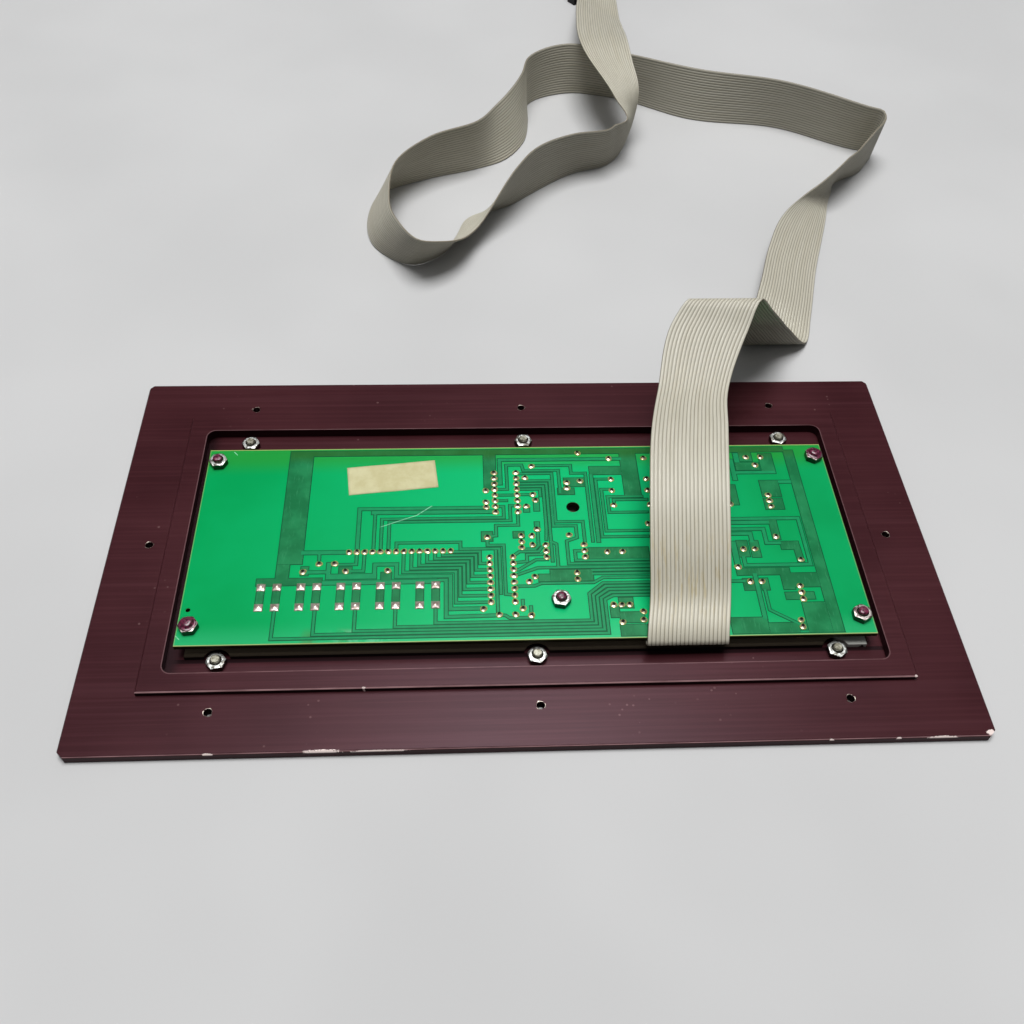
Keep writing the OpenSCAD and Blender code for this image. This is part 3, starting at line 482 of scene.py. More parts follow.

# Bare rims and threads of the eight tapped holes in the flange. They were cut after the plate was coloured,
# so the metal is bare, and a thin broken rim shines round each hole. Half a millimetre below the flange's top
# face, the threads fade into painted shade.
tapped_at = [(x, y) for x in (-96, 2, 96) for y in (-63, 63)] + [(-124, 0), (124, 0)]
tooth = [(1.27, 0.1), (1.1, 0.22), (1.1, 0.28), (1.27, 0.4)]
thread_pitch, thread_turns, turn_steps = 0.5, 5, 18
bare_metal = Finish("bare_metal", metallic=1, roughness=0.32)
_, _, hole_z = bare_metal.spot()
bare_tone_and_hole_shade = bare_metal.mix(bare_metal.noise(2500), shade(80, 72, 64), shade(184, 174, 162))
# Painted shade deeper in the hole.
bare_tone_and_hole_shade = bare_metal.mix(hole_z.rise(FLANGE_TOP - 0.5, FLANGE_TOP), shade(40, 32, 28), bare_tone_and_hole_shade)
bare_metal.set(base_color=bare_tone_and_hole_shade)
threads = bmesh.new()
for x, y in tapped_at:
    verts = [threads.verts.new(Vector((x + r, y, z)) * MM) for r, z in tooth]
    edges = [threads.edges.new(pair) for pair in zip(verts, verts[1:])]
    bmesh.ops.spin(
        threads, geom=verts + edges, cent=Vector((x, y, 0)) * MM, axis=(0, 0, 1), angle=2 * pi * thread_turns,
        dvec=(0, 0, thread_pitch / turn_steps * MM), steps=turn_steps * thread_turns,
    )
    rim = turned([(1.24, -0.3), (1.26, -0.02), (1.32, 0.012), (1.42, 0.012)], 28)
    for vert in rim.verts:
        if vert.co.xy.length > 1.38 * MM:
            around = atan2(vert.co.y, vert.co.x)
            vert.co.xy *= 1 + 0.09 * sin(3 * around + x) + 0.06 * sin(7 * around + y)
    join(threads, rim, (x, y, FLANGE_TOP))
add_piece("flange_threads", threads, bare_metal)

# Nuts. Eleven M3 hexagon nuts of plated steel with both faces chamfered. Six clamp the front screws on the
# floor of the pocket and five hold the board; the plating of three of the board nuts is stained.
steel = Finish("plated_steel", metallic=1)
grime = steel.noise(900, 3)
steel.set(
    base_color=steel.mix(grime.rise(0.42, 0.66), shade(204, 206, 202), shade(96, 92, 84)),
    roughness=0.28 + 0.3 * grime, normal=steel.bump(grime, 0.00003),
)
stained = Finish("stained_steel", metallic=1)
stain = stained.noise(700, 3)
stained.set(
    base_color=stained.mix(stain.rise(0.4, 0.62), shade(186, 178, 173), shade(100, 82, 82)),
    roughness=0.3 + 0.3 * stain, normal=stained.bump(stain, 0.00003),
)
# The flanks of the nuts and the ring round each bore are given a darker metal: painted shade.
flank_shade = Finish("nut_flank", base_color=shade(74, 70, 64), metallic=1, roughness=0.3)
nut_finishes = [steel, stained, flank_shade]
FLATS, NUT_HIGH, BORE, BLANK = 5.5, 2.4, 1.53, 3.3


def add_nut(mesh, at, turn, finish):
    """A chamfered hexagon nut, turned by an angle in degrees. It starts as a round blank."""
    outside = [(1.88, NUT_HIGH), (2.45, NUT_HIGH), (BLANK, NUT_HIGH), (BLANK, 0), (2.45, 0), (1.6, 0)]
    nut = turned([(BORE, 0), (BORE, NUT_HIGH - 0.4)] + outside + [(BORE, 0)], 96)
    for vert in nut.verts:
        if vert.co.xy.length > 3 * MM:
            side = FLATS / 2 / cos((atan2(vert.co.y, vert.co.x) - radians(turn)) % (pi / 3) - pi / 6)
            chamfer = max(0, side - 2.66) * 0.6
            vert.co.xy *= side / BLANK
            vert.co.z += (chamfer if vert.co.z < NUT_HIGH / 2 * MM else -chamfer) * MM
    nut.normal_update()
    for face in nut.faces:
        # Flanks and the ring round the bore take the painted shade.
        on_side = abs(face.normal.z) < 0.3 or face.calc_center_median().xy.length < 1.8 * MM
        face.material_index = nut_finishes.index(flank_shade if on_side else finish)
    join(mesh, nut, at)


nuts = bmesh.new()
nut_turns = [12, 2, -13, 0, -25, -22, 6, 5, -12, 28, 30]
stained_nuts = (6, 9, 10)
for number, part in enumerate(loose_parts("floor_nuts") + loose_parts("board_nuts")):
    plating = stained if number in stained_nuts else steel
    add_nut(nuts, middle_at(part, part[0].z), nut_turns[number], plating)
hexagon_nuts = add_piece("hexagon_nuts", nuts, nut_finishes, smooth=False)
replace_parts(hexagon_nuts, "floor_nuts", "board_nuts")

# Screws. Countersunk M3 machine screws, dull zinc plated, with their threads standing out of the nuts.
# Their heads lie in the front of the plate. Six end on the floor of the pocket and five go through the board.
screw_zinc = Finish("screw_zinc", metallic=0.5, roughness=0.42)
_, _, screw_z = screw_zinc.spot()
groove_depth = ((screw_z / 0.5).fract() - 0.5).abs() * 2
zinc = screw_zinc.noise(1100, 3).rise(0.35, 0.65)
screw_zinc.set(
    base_color=screw_zinc.mix(zinc, shade(176, 174, 158), shade(112, 108, 92)),
    normal=screw_zinc.bump(groove_depth * (screw_z > 2), 0.0001),
)
dress(screw_zinc, "front_screws", "board_screws")

# Locking lacquer. Thick purple drops, brushed over the ends of the five board screws when they were tight.
# Two of the nuts are covered right to their corners.
lacquer = Finish("locking_lacquer", coat_roughness=0.2)
film = lacquer.noise(1500, 3, 0.6)
lacquer.set(
    base_color=lacquer.mix(film.rise(0.35, 0.65), shade(48, 6, 27), shade(124, 44, 75)), coat_weight=0.5,
    roughness=0.2 + 0.25 * film, normal=lacquer.bump(lacquer.noise(1300, 3), 0.00012),
)
over_the_nut = [(2.62, -1.25), (2.66, -0.98), (2.3, -0.88), (1.8, -0.86), (1.62, -0.5), (1.56, -0.1)]
on_the_screw = [(1.5, -0.6), (1.58, -0.4), (1.55, -0.15)]
crown = [(1.3, 0.07), (0.7, 0.16), (0, 0.13)]
drops = bmesh.new()
for number, part in enumerate(loose_parts("board_screws")):
    drop = turned((over_the_nut if number in (0, 4) else on_the_screw) + crown, 36)
    for vert in drop.verts:
        around = atan2(vert.co.y, vert.co.x) + number
        vert.co.xy *= 1 + 0.035 * sin(3 * around) + 0.02 * sin(5 * around + 1)
        vert.co.z += 0.05 * MM * sin(2 * around) * vert.co.xy.length / (1.5 * MM)
    join(drops, drop, middle_at(part, part[1].z))
add_piece("locking_lacquer", drops, lacquer)

# Window sheet. Smoked acrylic on the floor of the pocket, glossy enough to mirror the light beyond the board.
# Its sawn side is painted dark as shade, its top is painted paler under the board's edge as light, and a pale
# painted reflection lies at its right end.
SHEET_TOP = 3.1
smoked = Finish("smoked_acrylic", roughness=0.07, specular_ior_level=0.6)
sheet_x, sheet_y, sheet_z = smoked.spot()
# A pale painted reflection at the right end.
painted_reflection = (sheet_x + sheet_y * 1.2).rise(46, 48) * smoked.noise(400, 2).rise(0.3, 0.4)
# Painted light and shade: the top is painted paler towards the board's edge, and the sawn side near black.
smoke_and_painted_light = smoked.mix(sheet_y.rise(SHEET_NEAR, SHEET_NEAR + 2.5), shade(47, 41, 34), shade(134, 120, 102))
smoke_and_painted_light = smoked.mix(sheet_z > SHEET_TOP - 0.05, shade(10, 8, 7), smoke_and_painted_light)
smoke_and_painted_light = smoked.mix(painted_reflection, smoke_and_painted_light, shade(190, 190, 184))
smoked.set(base_color=smoke_and_painted_light, normal=smoked.bump(smoked.noise(60), 0.00004))
dress(smoked, "window_sheet")

# Main board. Glass-fibre board, 1.6 mm thick, with a green solder mask over the copper. The sawn side is
# painted dark with a pale painted highlight along its top, and the mask is scratched in a few places.
BOARD_TOP = 8.2
BOARD_RIGHT, BOARD_NEAR, BOARD_FAR = 108.25, -43.1, 37.9
mask = Finish("solder_mask", specular_ior_level=0.15)
board_x, board_y, board_z = mask.spot()
patches = mask.noise(30, 3)
weave = mask.noise(1, 2, 0.5, mask.stretched(900, 250, 900))
green = mask.mix(board_x.rise(-100, 0), shade(2, 162, 86), shade(16, 190, 116))
green = mask.mix(board_x.rise(50, 90), green, shade(10, 156, 86))
green = mask.mix(patches.rise(0.35, 0.7) * 0.25, green, shade(18, 194, 118))
green = mask.mix(board_y.rise(25, 34) * 0.6, green, shade(46, 152, 40))


def scratched(finish, colour):
    """The colour with the pale scratches of the solder mask across it, each from one place to another."""
    x, y, _ = finish.spot()
    marks = x * 0
    for start, end, wide in [
        ((-30.7, 11.1), (-35.7, 7.1), 0.2), ((-35.7, 7.1), (-47.9, 2.1), 0.16),
        ((-100, 37), (-98.6, 35.4), 0.2), ((-108.2, -39.3), (-106.8, -40.7), 0.25),
    ]:
        way = Vector(end) - Vector(start)
        along = ((x - start[0]) * way.x + (y - start[1]) * way.y) / way.length
        off = ((y - start[1]) * way.x - (x - start[0]) * way.y) / way.length
        marks = marks.most(off.abs().rise(wide, wide * 0.4) * along.within(0, way.length))
    return finish.mix(marks * finish.noise(800).rise(0.2, 0.5) * 0.75, colour, shade(165, 236, 200))


# Two dark spills of flux and a pale fog lie along the near edge of the mask. Towards that edge the mask is
# painted lighter as a sheen, and pale painted highlights run along its sawn edges, weaker at both ends.
green = scratched(mask, green)
for x in (-68, -57):
    spill = (board_x - x).abs().rise(3.4, 0.5) * board_y.rise(-36.5, -41.5)
    green = mask.mix(spill * mask.noise(500, 3).rise(0.3, 0.55) * 0.8, green, shade(70, 104, 20))
fog = (board_x + 52).abs().rise(11, 5) * board_y.rise(-37.5, -39.5) * mask.noise(420, 3).rise(0.42, 0.62)
green = mask.mix(fog * 0.4, green, shade(150, 220, 185))
# Painted sheen: the mask grows lighter towards its near edge.
green = mask.mix(board_y.rise(-34, -43) * 0.35, green, shade(70, 200, 140))
# Pale painted highlights along the sawn edges of the mask, weaker at both ends.
sawn = (board_y > BOARD_FAR - 0.3).most(board_y < BOARD_NEAR + 0.3)
sawn = sawn.most((board_x.abs() > BOARD_RIGHT - 0.3) * 0.35)
green = mask.mix(sawn * 0.75, green, shade(190, 194, 124))
top_side = board_z > BOARD_TOP - 0.08
# The sawn side is painted dark, with a pale painted highlight along its top.
sawn_side_dark_and_highlight = mask.mix(board_z.rise(BOARD_TOP - 0.4, BOARD_TOP - 0.2), shade(36, 38, 12), shade(170, 178, 104))
mask.set(
    base_color=mask.mix(top_side, sawn_side_dark_and_highlight, green), roughness=0.6 - 0.36 * top_side,
    normal=mask.bump(weave, 0.000004),
)
dress(mask, "main_board")

# Copper under the mask. Tracks and areas of tinned copper, covered by the mask, which looks dark along their
# edges, where it runs thin. Each strip lies a hair higher than the one before it, so that no two fight.
copper_areas = [
    (-80.2, -12.8, -72.2, 36.9), (-80.2, -21.2, -76.1, -12.8), (-86, -21.2, -65.4, -18.4),
    (-65.4, -21.2, -28, -19.6), (-64.3, -19, -48.2, -17), (-80.2, 34.4, 94.5, 36.9), (-12.9, 18, -8.7, 34.6),
    (35.3, 14, 41, 34.6), (24, 24.4, 35.3, 28.2), (94.4, -42.4, 98, 35.2), (-72.4, -17.4, -70, -13.8),
    (-60.3, -16.9, -56.2, -14.2), (-46.8, -20, -43.4, -16.5), (76, 25.8, 84.4, 29.4), (76, 29.4, 77.9, 34),
    (78, 30, 82.5, 34.4), (85, 24, 89.8, 33.6), (74, 24, 89.8, 25.3), (83, 13.4, 89.6, 20.8),
    (89.6, 19.4, 94.4, 20.8), (83, 7.6, 89.5, 12.6), (71.8, 9.8, 74.2, 19), (74, 21, 75.6, 31),
    (84.8, -9.7, 91, -6.3), (74.5, -12.8, 77.5, -5.8), (70.2, -12.5, 73.8, -5.7), (68.1, -20, 70, -6),
    (68.1, -20, 85.6, -17.2), (82.2, -25.9, 86, -19.4), (82.2, -25, 94.4, -19.4), (82.2, -29.8, 91.6, -27),
    (86.8, -42.4, 94.4, -31), (62.8, -42.4, 74.5, -36.4), (74.5, -42.4, 84, -38.6), (84, -42.4, 86.8, -41.6),
    (69.5, -26, 73, -21.3), (75.2, -26, 77.7, -21.3), (84, -41.4, 86.6, -38.6), (7.5, -21.2, 21.3, -16.6),
    (3.7, -21.2, 7.5, -18.3), (20.6, -12.4, 40.5, -7.8), (28.5, -32, 33, -28), (25.5, -35.5, 28.3, -31.3),
    (28, -42.4, 36.5, -38.2), (28.3, -37.5, 36, -33.5), (12.3, 15.4, 18, 18.3), (14.7, 19, 22, 23),
    (-14.3, -4.5, -10.6, -0.4), (-3.8, -3.3, -0.2, -0.5), (3.5, -0.5, 5.2, 3.5), (3.7, 8.2, 5.6, 14),
    (0.2, 7.8, 2.2, 10.4),
]
TRACK = 0.85
copper_tracks = [
    (1.5, [(-72.2, -8.2), (-57.5, -8.2)]), (TRACK, [(-67, -8.2), (-66.8, -12.7)]),
    (1.2, [(-71, -16.1), (-63.6, -16.1)]), (1.4, [(-63.6, -18), (-63.6, -13), (-61.8, -12.9)]),
    (TRACK, [(-61.8, -13.2), (-54.9, -13.2), (-54.9, -8.2)]),
    (TRACK, [(-57.4, -15.9), (-52.5, -15.9), (-52.4, -8.2)]),
    (1.2, [(-48.9, -18), (-48.9, -13.4), (-41.9, -13.4), (-41.9, -18.4), (-24.6, -18.4), (-24.6, -31.2),
        (-14.3, -31.2)]),
    (1.1, [(-28, -20), (-26, -20), (-26, -34.2), (-9.4, -33.9)]),
    (TRACK, [(-42.2, -8), (-42.2, -4.7), (-21.3, -4.7), (-21.3, -7.6), (-8.6, -7.6), (-8.6, -25.5)]),
    (TRACK, [(-12.4, -2.8), (-12.4, -6.2), (-7.1, -6.2), (-7.1, -25.9), (-4.2, -26.3)]),
    (TRACK, [(-9.8, -8.5), (-9.8, -33.3)]),
    (1.2, [(-54.9, -8.2), (-54.9, 10.0), (-14, 10.0), (-12.4, 10.2)]),
    (TRACK, [(-49.65, -8.2), (-49.65, 8.4)]), (1.6, [(-50.1, 8.4), (-9.3, 8.2)]),
    (TRACK, [(-47.3, -8.2), (-47.3, 5.5), (-6.6, 5.5), (-6.6, 10.4), (-9.3, 10.4)]),
    (TRACK, [(-44.8, -8.2), (-44.8, 4.2), (-4.4, 4.2), (-4.4, 10.8), (-1.7, 10.5)]),
    (TRACK, [(-1.9, 7.9), (-1.9, 2.2), (-9.4, 2.2), (-9.4, -2.2), (-12.4, -2.6)]),
    (1.3, [(-9.3, 20.8), (-7.3, 20.8), (-7.3, 31.8), (35.3, 31.8)]),
    (TRACK, [(-9.3, 18.1), (-5, 18.1), (-5, 29.3), (0.4, 29.3), (0.9, 26.6), (13.1, 26.6), (13.1, 16.5)]),
    (TRACK, [(-1.7, 25.2), (10.7, 25.2), (10.7, 3.4), (19.8, 3.4), (19.8, -6.4)]),
    (TRACK, [(-1.7, 21.9), (9.8, 21.9), (9.8, 1.6), (17.3, 1.6), (17.3, -3.3)]),
    (TRACK, [(-1.7, 20.6), (8.6, 20.6), (8.6, -5), (10.3, -6), (10.3, -15.6)]),
    (TRACK, [(-1.7, 19.3), (7.4, 19.3), (7.4, 0.5), (7.1, -4)]), (TRACK, [(-1.7, 18), (6.2, 18), (6.2, 15)]),
    (TRACK, [(8.6, -5), (8.6, -13)]), (TRACK, [(-9.3, 15.5), (-1.7, 15.5)]),
    (TRACK, [(-9.3, 13), (-5.5, 13)]), (TRACK, [(-1.7, 15.6), (2.4, 15.6), (3, 15.2)]),
    (TRACK, [(3.9, 28.9), (17.5, 28.9), (17.5, 25.2), (22.5, 25.2), (22.5, -5)]),
    (1.2, [(24.4, 24), (24.4, -5)]), (TRACK, [(31.3, 22.3), (25.8, 22.3), (25.8, -3.3), (41, -3.3)]),
    (TRACK, [(31, 17.6), (27.4, 17.6), (27.4, -0.8), (41.5, -0.8)]),
    (TRACK, [(41, 14.2), (29.2, 14.2), (29.2, 7.2), (42, 7.2)]),
    (TRACK, [(31.2, 10.4), (31.2, 12.8), (42.5, 12.8)]),
    (TRACK, [(17, -3.6), (13.8, -4.9), (13.8, -14.2), (24.5, -14.2), (40, -14.2)]),
    (TRACK, [(19.4, -9), (16.2, -9), (16.2, -12.9), (40, -12.9)]),
    (TRACK, [(-4.2, -16.2), (-2.6, -16.4), (3.2, -12.4), (6.8, -12.4), (6.8, -11.5)]),
    (TRACK, [(-4.2, -18.7), (-2.2, -18), (3.6, -15.7), (40, -15.7)]),
    (TRACK, [(-4.2, -23.8), (-3, -22.9), (2.2, -22.9), (4.4, -21.9), (21.2, -21.9), (24.3, -20), (40, -20)]),
    (TRACK, [(21.3, -17), (40, -17)]), (TRACK, [(21.3, -18.4), (40, -18.4)]),
    (TRACK, [(4.4, 0), (4.4, -6.5), (3.2, -8), (-1.1, -8)]),
    (TRACK, [(6.8, -6.4), (5.3, -7.4), (4.2, -9), (-2, -9), (-4.2, -10.8)]),
    (TRACK, [(6.8, -8.9), (5.2, -10.3), (0.3, -10.3), (0.3, -13), (-4.2, -13.6)]),
    (TRACK, [(-9.4, -33.7), (-7.5, -34), (-6.3, -35), (0.6, -35), (0.6, -31)]),
    (TRACK, [(-1.9, -31.5), (-1.9, -28.5)]),
    (1.2, [(70, 3.6), (93.1, 3.6), (93.1, -16), (71.5, -16), (71.5, -12.8)]),
    (1.5, [(70, 2), (84.1, 2)]), (2.6, [(84.1, 2), (84.1, -4.2)]),
    (1.2, [(69.5, -0.9), (80.3, -0.9), (80.3, -6.9), (84.5, -6.9)]), (2.2, [(90, -9), (90.2, -14)]),
    (1.3, [(69.5, -2.8), (75.5, -2.8), (75.5, -6)]), (1.4, [(73.9, -20), (73.9, -36.6)]),
    (TRACK, [(65.5, -22.3), (70, -22.3)]), (TRACK, [(76, -26), (76, -33.7), (83.6, -38.7), (85, -40)]),
]
key_x = [-81.8, -69.3, -56.8, -44.3, -31.8]
copper_tracks += [(2.3, [(x + side, -22.4), (x + side, -29.2)]) for x in key_x for side in (-2.5, 2.5)]
copper_tracks += [
    (TRACK, [(-24.5 - i * 2.54, -8.2), (-24.5 - i * 2.54, row), (turn_x, row), (turn_x, end), (-11.9, end)])
    for i, (row, turn_x, end) in enumerate([
        (-8.7, -15, -13.6), (-10.1, -16.3, -16.2), (-11.4, -17.6, -18.7), (-12.7, -18.9, -21.2),
        (-14, -20.2, -23.8), (-15.3, -21.5, -26.3), (-16.7, -22.9, -28.9),
    ])
]
copper_tracks += [
    (TRACK, [(x + 2.5, -29), (x + 2.5, row), (24.2 - 1.2 * i, row), (24.2 - 1.2 * i, -28.6 + 0.6 * i),
        (26.9 - 0.68 * i, -27.1 + 1.25 * i), (40, -27.1 + 1.25 * i)])
    for i, (x, row) in enumerate(zip(key_x, [-41.2, -39.9, -38.8, -37.6, -36.4]))
]


def of_kind(kind, geom):
    """The vertices or faces among the parts that a bmesh operator made."""
    return [part for part in geom if isinstance(part, kind)]


def area_strip(x0, y0, x1, y1):
    """A rectangle as a strip: its width and the line along its middle."""
    half = min(x1 - x0, y1 - y0) / 2
    if y1 - y0 > x1 - x0:
        return 2 * half, [((x0 + x1) / 2, y0 + half), ((x0 + x1) / 2, y1 - half)]
    return 2 * half, [(x0 + half, (y0 + y1) / 2), (x1 - half, (y0 + y1) / 2)]


def add_strip(mesh, points, width, foot, top, finish):
    """A closed flat strip of that width along a line of points, with mitred corners."""
    points = [Vector(p) for p in points]
    ways = [(b - a).normalized() for a, b in zip(points, points[1:])]
    mitres = []
    for before, after in zip(ways[:1] + ways, ways + ways[-1:]):
        square = (before + after).normalized()
        mitres.append(Vector((-square.y, square.x)) * width / 2 / max(0.5, square.dot(after)))
    points[0] = points[0] - ways[0] * width / 2
    points[-1] = points[-1] + ways[-1] * width / 2
    left = [mesh.verts.new(Vector((*(p + m), foot)) * MM) for p, m in zip(points, mitres)]
    edges = [mesh.edges.new(pair) for pair in zip(left, left[1:])]
    flat = bmesh.ops.extrude_edge_only(mesh, edges=edges)["geom"]
    right = of_kind(BMVert, flat)
    for vert in right:
        number = min(range(len(left)), key=lambda i: (left[i].co - vert.co).length)
        vert.co -= Vector((*mitres[number], 0)) * 2 * MM
    raised = bmesh.ops.extrude_face_region(mesh, geom=of_kind(BMFace, flat), use_keep_orig=True)["geom"]
    for vert in of_kind(BMVert, raised):
        vert.co.z = top * MM
    for face in {face for vert in left + right for face in vert.link_faces}.union(of_kind(BMFace, raised)):
        face.material_index = finish


tinned = Finish("copper_under_mask", roughness=0.3, specular_ior_level=0.15)
wrinkle = tinned.noise(1, 3, 0.6, tinned.stretched(1500, 260, 900))
_, copper_y, _ = tinned.spot()
fill = tinned.mix(tinned.noise(120, 3).rise(0.35, 0.65), shade(24, 112, 66), shade(36, 134, 82))
fill = tinned.mix(wrinkle.rise(0.55, 0.75) * 0.3, fill, shade(70, 160, 112))
fill = tinned.mix(copper_y.rise(30, 35) * 0.6, fill, shade(44, 100, 26))
tinned.set(base_color=scratched(tinned, fill), normal=tinned.bump(wrinkle, 0.00002))
narrow = Finish("tracks_under_mask", roughness=0.3, specular_ior_level=0.15)
line_green = narrow.mix(narrow.noise(400, 2), shade(20, 136, 84), shade(32, 158, 100))
narrow.set(base_color=scratched(narrow, line_green))
thin_mask = Finish("thin_mask_edge", roughness=0.3, specular_ior_level=0.15)
thin_mask.set(base_color=scratched(thin_mask, shade(6, 88, 52)))
AREA, LINE, EDGE = 0, 1, 2
copper = bmesh.new()
for number, (width, points) in enumerate([area_strip(*area) for area in copper_areas] + copper_tracks):
    foot, surface = BOARD_TOP - 0.05, BOARD_TOP + number * 0.0003
    add_strip(copper, points, width + 0.5, foot, surface + 0.01, EDGE)
    add_strip(copper, points, width - 0.12, foot, surface + 0.05, AREA if width > 2 else LINE)
bmesh.ops.recalc_face_normals(copper, faces=copper.faces[:])
add_piece("copper_tracks", copper, [tinned, narrow, thin_mask], smooth=False)

# Solder joints. Tin-lead cones round the cut leads of the parts. Each has a tan ring of flux at its foot and
# the dark cut end of its lead on top, which leans a little to the far side; its near-black colour is partly
# the lead's own and partly painted shade of the lead and the hollow round it.
solder = Finish("solder", metallic=0.7, roughness=0.27)
shine = solder.noise(1500).rise(0.4, 0.65)
solder.set(base_color=solder.mix(shine, shade(236, 226, 204), shade(196, 174, 134)))
flux = Finish("flux", base_color=shade(168, 164, 84), roughness=0.35)
# The cut ends are near black: the lead's dark end and painted shade together.
cut_end_and_shade = Finish("cut_lead", base_color=shade(14, 7, 5), roughness=0.5, specular_ior_level=0.15)
CONE, RING, LEAD = 0, 1, 2
joints = bmesh.new()
for number, part in enumerate(loose_parts("solder_joints")):
    chance = random.Random(number)
    wide, tall = chance.uniform(0.86, 0.96), chance.uniform(0.34, 0.46)
    joint = turned([
        (wide + 0.26, -0.1), (wide + 0.25, 0.05), (wide, 0.12), (wide * 0.8, 0.21),
        (0.62, 0.62 * tall + 0.06), (0.5, tall), (0.46, tall + 0.12), (0, tall + 0.16),
    ], 14)
    for face in joint.faces:
        spot = face.calc_center_median() / MM
        face.material_index = LEAD if spot.z > tall + 0.01 else RING if spot.xy.length > wide * 0.95 else CONE
    lean = Vector((chance.uniform(-0.12, 0.06), chance.uniform(0.12, 0.24))) * MM
    for vert in joint.verts:
        rising = max(0, vert.co.z / (tall * MM))
        around = atan2(vert.co.y, vert.co.x)
        vert.co.xy *= 1 + 0.06 * sin(2 * around + number) + 0.04 * sin(3 * around + 2 * number)
        vert.co.xy += lean * rising**2
    join(joints, joint, middle_at(part, BOARD_TOP))
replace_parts(add_piece("solder_cones", joints, [solder, flux, cut_end_and_shade]), "solder_joints")

# Key pads. The legs of the five keys stand in square pads, and the solder has pulled up into a low pyramid
# on each of them. It has set duller than on the round joints.
PAD_HALF = 1.36
dull_solder = Finish("dull_solder", metallic=0.6, roughness=0.36)
dull = dull_solder.noise(900, 3).rise(0.35, 0.65)
dull_solder.set(base_color=dull_solder.mix(dull, shade(226, 212, 204), shade(184, 164, 152)))
pads = bmesh.new()
for number, part in enumerate(loose_parts("key_pads")):
    chance = random.Random(100 + number)
    tall = chance.uniform(0.5, 0.75)
    slope = Vector((chance.uniform(-0.12, 0.12), chance.uniform(-0.05, 0.15)))
    pad = bmesh.new()
    bmesh.ops.create_grid(pad, x_segments=8, y_segments=8, size=PAD_HALF * MM)
    skirt = [edge for edge in pad.edges if edge.is_boundary]
    for vert in pad.verts:
        u, v = vert.co.x / (PAD_HALF * MM) - slope.x, vert.co.y / (PAD_HALF * MM) - slope.y
        vert.co.z = (0.2 + tall * max(0, 1 - abs(u) ** 1.3) * max(0, 1 - abs(v) ** 1.3)) * MM
    for vert in of_kind(BMVert, bmesh.ops.extrude_edge_only(pad, edges=skirt)["geom"]):
        vert.co.z = -0.05 * MM
    join(pads, pad, middle_at(part, BOARD_TOP))
bmesh.ops.recalc_face_normals(pads, faces=pads.faces[:])
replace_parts(add_piece("key_pad_solder", pads, dull_solder), "key_pads")

# Label. A blank strip of cream paper, stuck slightly askew on the board beside the tracks. It is soiled all
# over and lifts a little at its corners.
half_long, half_wide, askew = 15.25, 6.3, Matrix.Rotation(radians(6), 4, "Z")
paper = Finish("label_paper", roughness=0.75, specular_ior_level=0.2)
soil = paper.noise(160, 4, 0.65).rise(0.35, 0.7)
paper.set(
    base_color=paper.mix(soil, shade(216, 211, 168), shade(204, 197, 150)),
    normal=paper.bump(paper.noise(900, 3), 0.00002),
)
label_sheet = bmesh.new()
bmesh.ops.create_grid(label_sheet, x_segments=30, y_segments=12, size=0.5)
for vert in label_sheet.verts:
    u, v = vert.co.x * 2, vert.co.y * 2
    lift = 0.12 + 0.05 * sin(5 * u + 1) * cos(3 * v) + 0.35 * max(0, abs(u) + abs(v) - 1.7) ** 2
    vert.co = Vector((u * half_long, v * half_wide, lift)) * MM
raised = bmesh.ops.extrude_face_region(label_sheet, geom=label_sheet.faces[:], use_keep_orig=True)["geom"]
for vert in of_kind(BMVert, raised):
    vert.co.z -= 0.1 * MM
bmesh.ops.recalc_face_normals(label_sheet, faces=label_sheet.faces[:])
label_at = Vector(middle_at(loose_parts("label")[0], BOARD_TOP)) * MM
label_sheet.transform(Matrix.Translation(label_at) @ askew)
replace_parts(add_piece("paper_label", label_sheet, paper), "label")


def mottled(name, noise, one, other, **sockets):
    """A finish that wavers between two colours."""
    finish = Finish(name, **sockets)
    return finish.set(base_color=finish.mix(finish.noise(*noise), shade(*one), shade(*other)))


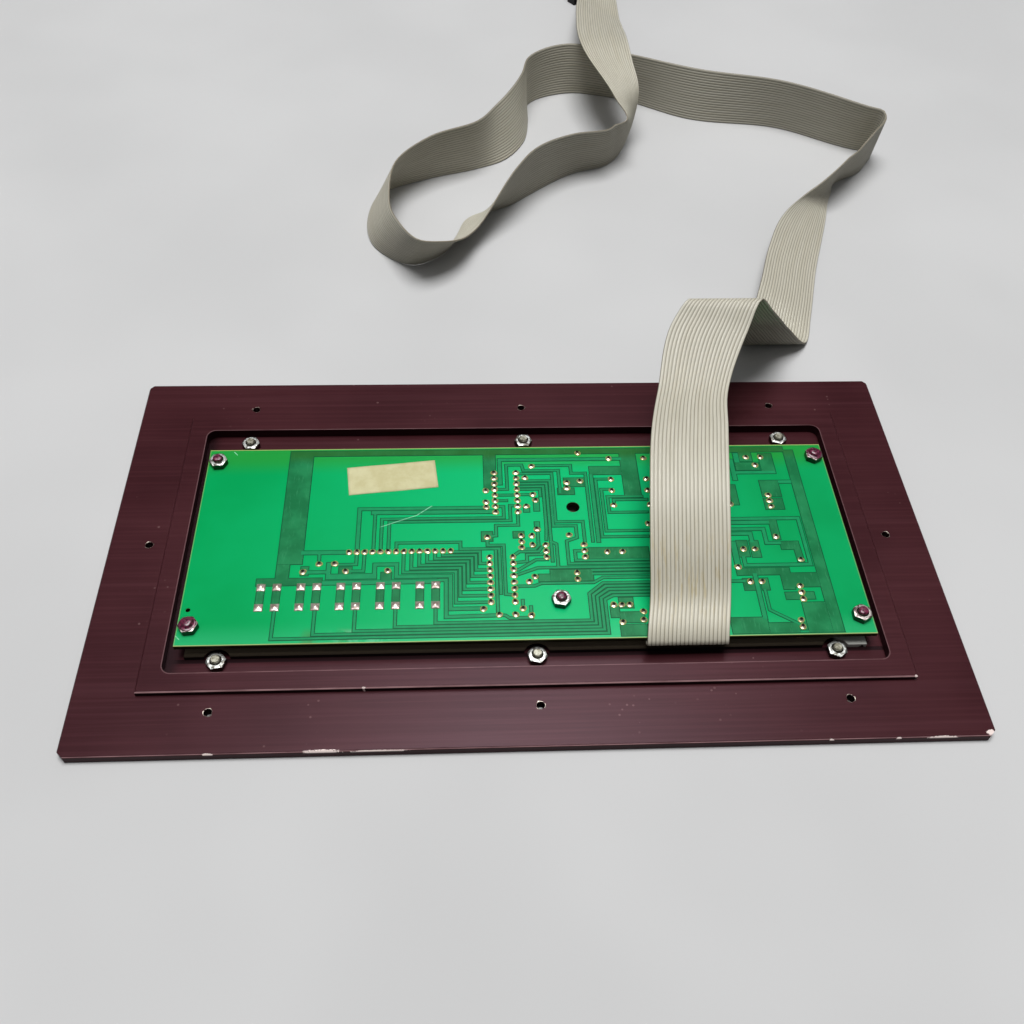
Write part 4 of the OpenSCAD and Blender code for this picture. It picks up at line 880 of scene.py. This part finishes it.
# Black plastics. Moulded housings of the board connector, the end socket, the driver chips and the keys, with
# a slight grain. The chips of the display and the transistors are cast in a smoother and darker resin.
black_plastic = mottled("black_plastic", (300, 3), (22, 22, 23), (36, 36, 38), roughness=0.4)
black_plastic.set(normal=black_plastic.bump(black_plastic.noise(3000), 0.00001))
dress(black_plastic, "board_plug", "board_plug_cap", "end_socket", "end_socket_cap", "driver_chips")
dress(black_plastic, "key_housings")
dress(Finish("epoxy_drop", base_color=shade(14, 14, 15), roughness=0.25), "display_chips", "transistors")

# Legs, pins and spacers. The driver chips stand on bent legs of tinned sheet, the display's header has gilt
# pins, and five turned tubes keep the board off the pocket's floor.
tin = mottled("tinned_legs", (900,), (190, 188, 180), (214, 212, 206), metallic=1, roughness=0.35)
dress(tin, "chip_legs", "board_spacers")
dress(Finish("gold_pins", base_color=shade(212, 172, 88), metallic=1, roughness=0.3), "display_header")

# Display module. A dark sheet-metal frame presses the glass and two rubber contact strips on a small green
# board of its own.
frame_metal = mottled("display_frame_metal", (600, 3), (40, 40, 43), (54, 54, 57), metallic=0.6, roughness=0.5)
dress(frame_metal, "display_frame")
dress(Finish("contact_rubber", base_color=shade(196, 120, 126), roughness=0.7), "contact_strips")
dress(mottled("display_board_mask", (200, 3), (20, 96, 58), (28, 110, 68), roughness=0.35), "display_board")

# Small parts. Resistors and capacitors in tan coats and a blue trimmer lie under the board on their leads,
# and the five keys have caps of grey plastic.
ceramic = mottled("small_part_bodies", (500, 3), (186, 152, 102), (204, 172, 122), roughness=0.45)
dress(ceramic, "resistors", "capacitors")
dress(Finish("trimmer_plastic", base_color=shade(44, 84, 168), roughness=0.4), "trimmer")
cap_grey = mottled("key_cap_grey", (400, 3), (186, 186, 182), (200, 200, 196), roughness=0.45)
dress(cap_grey, "key_1", "key_2", "key_3", "key_4", "key_5")

# Display glass. Two rows of sixteen character cells show faintly in the grey-green glass, each 4 mm wide and
# 6 mm high with its gap.
glass = Finish("display_glass", roughness=0.12)
glass_x, glass_y, _ = glass.spot()
column, row = (glass_x + 56.8) / 4 + 8, (glass_y - 7.3) / 6 + 1
cell = column.fract().rise(0.06, 0.12) * column.fract().rise(0.94, 0.88) * column.within(0, 16)
cell = cell * row.fract().rise(0.05, 0.1) * row.fract().rise(0.95, 0.9) * row.within(0, 2)
glass.set(base_color=glass.mix(cell * 0.5, shade(140, 156, 112), shade(122, 138, 98)))
dress(glass, "display_glass")
